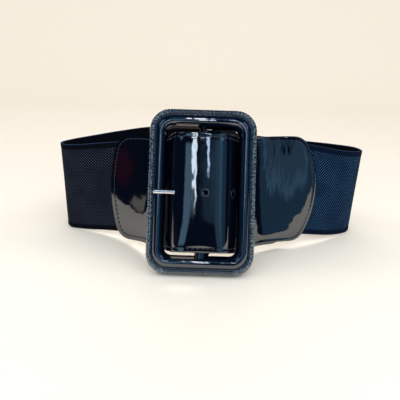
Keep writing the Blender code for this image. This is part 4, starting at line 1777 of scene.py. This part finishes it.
@dataclass
class Studio:
    """A pale paper sweep under soft lights, and the camera at the photograph's angle."""

    loop: Loop
    sweep_front: float = 0.31
    sweep_back: float = 0.75
    sweep_bend: float = 0.60
    sweep_top: float = 1.6
    sweep_half_width: float = 1.0
    # The far paper colour is a little darker: painted shade where less light falls behind the belt
    paper_near: str = "#f4ede1"
    paper_far: str = "#f0e8dc"
    room: str = "#eeebe6"
    mirrored_room: str = "#05080e"
    room_strength: float = 1.21
    camera_place: tuple[float, float, float] = (-0.001, -0.2721, 0.157)
    camera_tilt: float = 21.6
    camera_roll: float = 1.85
    camera_lens: float = 36.0
    boxes: tuple[Softbox, ...] = (
        Softbox("overhead", 186, 86, 1.0, 1.3, 1.2, 1.20, "#eef2fb", feather=0.0, mirrored=False),
        Softbox("back_light", 182, 50, 1.25, 1.1, 0.5, 0.40, "#fff4e6", feather=0.4, mirrored=False),
        Softbox("hollow_fill", 180, 42, 0.115, 0.12, 0.05, 0.20, "#fffaf2", feather=0.0, mirrored=False),
        Softbox("crest_light", -1.3, 62, 1.0, 0.050, 0.50, 0.70, "#f4f8ff", feather=0.3),
        Softbox("high_panel", -3, 60, 1.05, 0.36, 0.40, 0.45, "#8cc8f0", feather=0.8),
        Softbox("window_strip", 0.5, 36, 1.0, 0.036, 0.46, 0.38, "#e0f0ff", feather=0.3),
        Softbox("short_strip", 9.4, 43, 1.0, 0.034, 0.48, 0.34, "#c8e0ff", feather=0.3),
        Softbox("left_panel", -11.5, 20, 1.1, 0.42, 0.86, 1.10, "#a1d6ff", feather=0.35, roll=-5),
        Softbox("tip_panel", 27, 20, 1.3, 0.66, 1.50, 1.30, "#8ecaf8", feather=0.45),
        Softbox("tip_fill", 49, 18, 1.3, 1.00, 1.60, 1.50, "#7cc0f4", feather=0.4),
        Softbox("tip_top", 10, 27, 1.3, 0.24, 0.46, 0.07, "#8ecaf8", feather=0.5),
        Softbox("red_glow", -42, 6, 1.2, 0.70, 0.34, 0.05, "#ff2010", feather=0.6),
        Softbox("low_card", -76, 0, 1.2, 0.46, 0.12, 0.09, "#fff6ea", feather=0.4),
        Softbox("left_side", -62, 50, 1.2, 0.9, 0.45, 1.7, "#a8c8e4", feather=0.3),
        Softbox("right_side", 62, 50, 1.2, 0.9, 0.45, 1.7, "#a8c8e4", feather=0.3),
    )

    def build(self) -> None:
        """Sets up the sweep, the surroundings, the lights and the camera."""
        self._sweep()
        self._surroundings()
        for box in self.boxes:
            self._light(box)
        self._camera()

    def _profile(self) -> list[tuple[float, float]]:
        """The sweep's side view, from its front edge over the table and up behind the belt."""
        turns = np.radians(np.linspace(0, 90, 25))
        back, bend = self.sweep_back, self.sweep_bend
        curve = [(back + bend * math.sin(a), bend * (1 - math.cos(a))) for a in turns]
        return [(self.loop.middle.y - self.sweep_front, 0.0), *curve, (back + bend, self.sweep_top)]

    def _sweep(self) -> None:
        """A sheet of paper that lies on the table and rises behind the belt without an edge."""
        profile = np.array(self._profile())
        sweep, _, row = new_grid("paper_sweep", 2, len(profile))
        points = points_of(sweep)
        points[:, 0] *= 2 * self.sweep_half_width
        points[:, 1:] = profile[row] - (0, 0.0003)
        move_points(sweep, points)
        smooth(sweep)
        made, tree, shader = new_material("backdrop paper, uncoated")
        place = add_node(tree, "ShaderNodeTexCoord").outputs["Object"]
        parts = add_node(tree, "ShaderNodeSeparateXYZ", {0: place})
        # Painted shade: the paper is drawn whiter in front of the belt and a little darker and creamier
        # behind it, where less light falls.
        depth = add_node(
            tree,
            "ShaderNodeMapRange",
            {"Value": parts.outputs["Y"], "From Min": -0.12, "From Max": 0.5},
            interpolation_type="SMOOTHSTEP",
        )
        ramp = add_node(tree, "ShaderNodeValToRGB", {"Fac": depth.outputs[0]})
        ramp.color_ramp.elements[0].color = linear(self.paper_near)
        ramp.color_ramp.elements[1].color = linear(self.paper_far)
        tree.links.new(ramp.outputs["Color"], shader.inputs["Base Color"])
        set_shader(shader, Roughness=0.8, Specular_IOR_Level=0.2)
        sweep.data.materials.append(made)

    def _surroundings(self) -> None:
        """A soft grey room for the shadows, and a darker one that the lacquer mirrors."""
        world = bpy.data.worlds.new("studio")
        bpy.context.scene.world = world
        world.use_nodes = True
        tree = world.node_tree
        background = tree.nodes["Background"]
        path = add_node(tree, "ShaderNodeLightPath")
        lit = add_node(
            tree,
            "ShaderNodeMix",
            {"Factor": path.outputs["Is Glossy Ray"], 6: linear(self.room), 7: linear(self.mirrored_room)},
            data_type="RGBA",
        )
        tree.links.new(lit.outputs[2], background.inputs["Color"])
        background.inputs["Strength"].default_value = self.room_strength

    def _light(self, box: Softbox) -> None:
        """Adds one soft light that faces the buckle.

        Args:
            box: the light's place, size, power and colour.
        """
        turn, tilt = math.radians(box.azimuth), math.radians(box.elevation)
        level = math.cos(tilt)
        away = Vector((math.sin(turn) * level, -math.cos(turn) * level, math.sin(tilt)))
        bpy.ops.object.light_add(type="AREA", location=self.loop.middle + away * box.distance)
        light = bpy.context.object
        light.name = box.name
        aimed = away.to_track_quat("Z", "Y").to_matrix() @ Matrix.Rotation(math.radians(box.roll), 3, "Z")
        light.rotation_euler = aimed.to_euler()
        light.data.shape = "RECTANGLE"
        light.data.size = box.width
        light.data.size_y = box.height
        light.data.energy = box.watts
        light.data.color = linear(box.colour)[:3]
        light.visible_camera = False
        light.visible_glossy = box.mirrored
        if box.feather:
            self._feather(light, box.feather)

    def _feather(self, light: bpy.types.Object, share: float) -> None:
        """Lets a light fade towards its edges, as the cloth of a softbox does."""
        light.data.use_nodes = True
        tree = light.data.node_tree
        spot = add_node(tree, "ShaderNodeNewGeometry").outputs["Parametric"]
        centred = add_node(tree, "ShaderNodeVectorMath", {0: spot, 1: (0.5, 0.5, 0.0)}, operation="SUBTRACT")
        apart = add_node(tree, "ShaderNodeVectorMath", {0: centred.outputs[0]}, operation="ABSOLUTE")
        parts = add_node(tree, "ShaderNodeSeparateXYZ", {0: apart.outputs[0]})
        fades = [
            add_node(
                tree,
                "ShaderNodeMapRange",
                {"Value": parts.outputs[way], "From Min": 0.5, "From Max": 0.5 - share / 2},
                interpolation_type="SMOOTHSTEP",
            )
            for way in "XY"
        ]
        both = add_node(
            tree, "ShaderNodeMath", {0: fades[0].outputs[0], 1: fades[1].outputs[0]}, operation="MULTIPLY"
        )
        tree.links.new(both.outputs[0], tree.nodes["Emission"].inputs["Strength"])

    def _camera(self) -> None:
        """The camera at the photograph's place: a little above the belt, close in front of the buckle."""
        across, back, height = self.camera_place
        place = (self.loop.middle.x + across, self.loop.middle.y + back, height)
        bpy.ops.object.camera_add(location=place)
        camera = bpy.context.object
        camera.name = "photo_camera"
        camera.data.lens = self.camera_lens
        camera.data.sensor_width = 36
        tilt = Matrix.Rotation(math.radians(90 - self.camera_tilt), 4, "X")
        roll = Matrix.Rotation(math.radians(self.camera_roll), 4, "Z")
        camera.rotation_euler = (tilt @ roll).to_euler()
        bpy.context.scene.camera = camera
        bpy.context.scene.view_settings.view_transform = "Standard"


def polish_bar() -> None:
    """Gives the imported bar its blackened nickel, which shows at the window's foot and from behind."""
    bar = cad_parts["centre_bar"]
    bar.data.materials.clear()
    bar.data.materials.append(BrightNickel("#3c3d42").make("blackened nickel on drawn steel"))


def main() -> None:
    """Builds the belt piece by piece and sets up the studio."""
    logging.basicConfig(level=logging.INFO, format="%(message)s")
    loop = Loop()
    patent = PatentLeather().make("patent leather, lacquered")
    stretched = {"grain_mm": 1.1, "swell_mm": 7.0, "grain_depth": 0.10, "uv_name": None}
    # The covering carries a lighter blue as painted highlight on its pleats
    gathered = PatentLeather("#040f22", glint_colour="#8097a5", **stretched)
    covering = gathered.make("patent leather, stretched and gathered")
    # The wall round the window is drawn darker and duller: painted shade in the window's recess.
    shaded_wall_leather = PatentLeather("#02040c", gloss=0.15, **stretched)
    window_shade = shaded_wall_leather.make("patent leather, darkened as painted shade round the window")
    lining = SplitLeather().make("split leather, dyed flesh side")
    # The elastic's plain back is drawn near black: painted shade for the inside of the loop, which faces away
    # from the lights.
    plain = SplitLeather("#010207", "#04060f", sheen=0.0)
    shaded_reverse = plain.make("polyester covered elastic, plain back in painted shade")
    thread = SewingThread().make()
    ElasticBand(loop).build(WovenElastic().make(), shaded_reverse)
    prong = Prong(loop)
    # The hole rims are drawn lighter than the strap: a painted highlight for the glints on their crinkles.
    rim_glints = PatentLeather("#1c2738", grain_mm=0.8, swell_mm=1.6, grain_depth=0.8).make(
        "patent leather, lacquer cracked by the punch"
    )
    # The strap's bends beside the frame are dulled: painted shade where they lie in the frame's shadow.
    shaded_bends = PatentLeather(gloss=0.12).make("patent leather, dulled as painted shade beside the frame")
    LeatherStrap(loop).build(patent, rim_glints, shaded_bends, lining, thread, prong)
    BuckleTab(loop).build(patent, lining, thread)
    CoveredFrame(loop).build(covering, window_shade)
    prong.build(BrightNickel().make("bright nickel, plated casting"))
    polish_bar()
    Studio(loop).build()


if __name__ == "__main__":
    main()
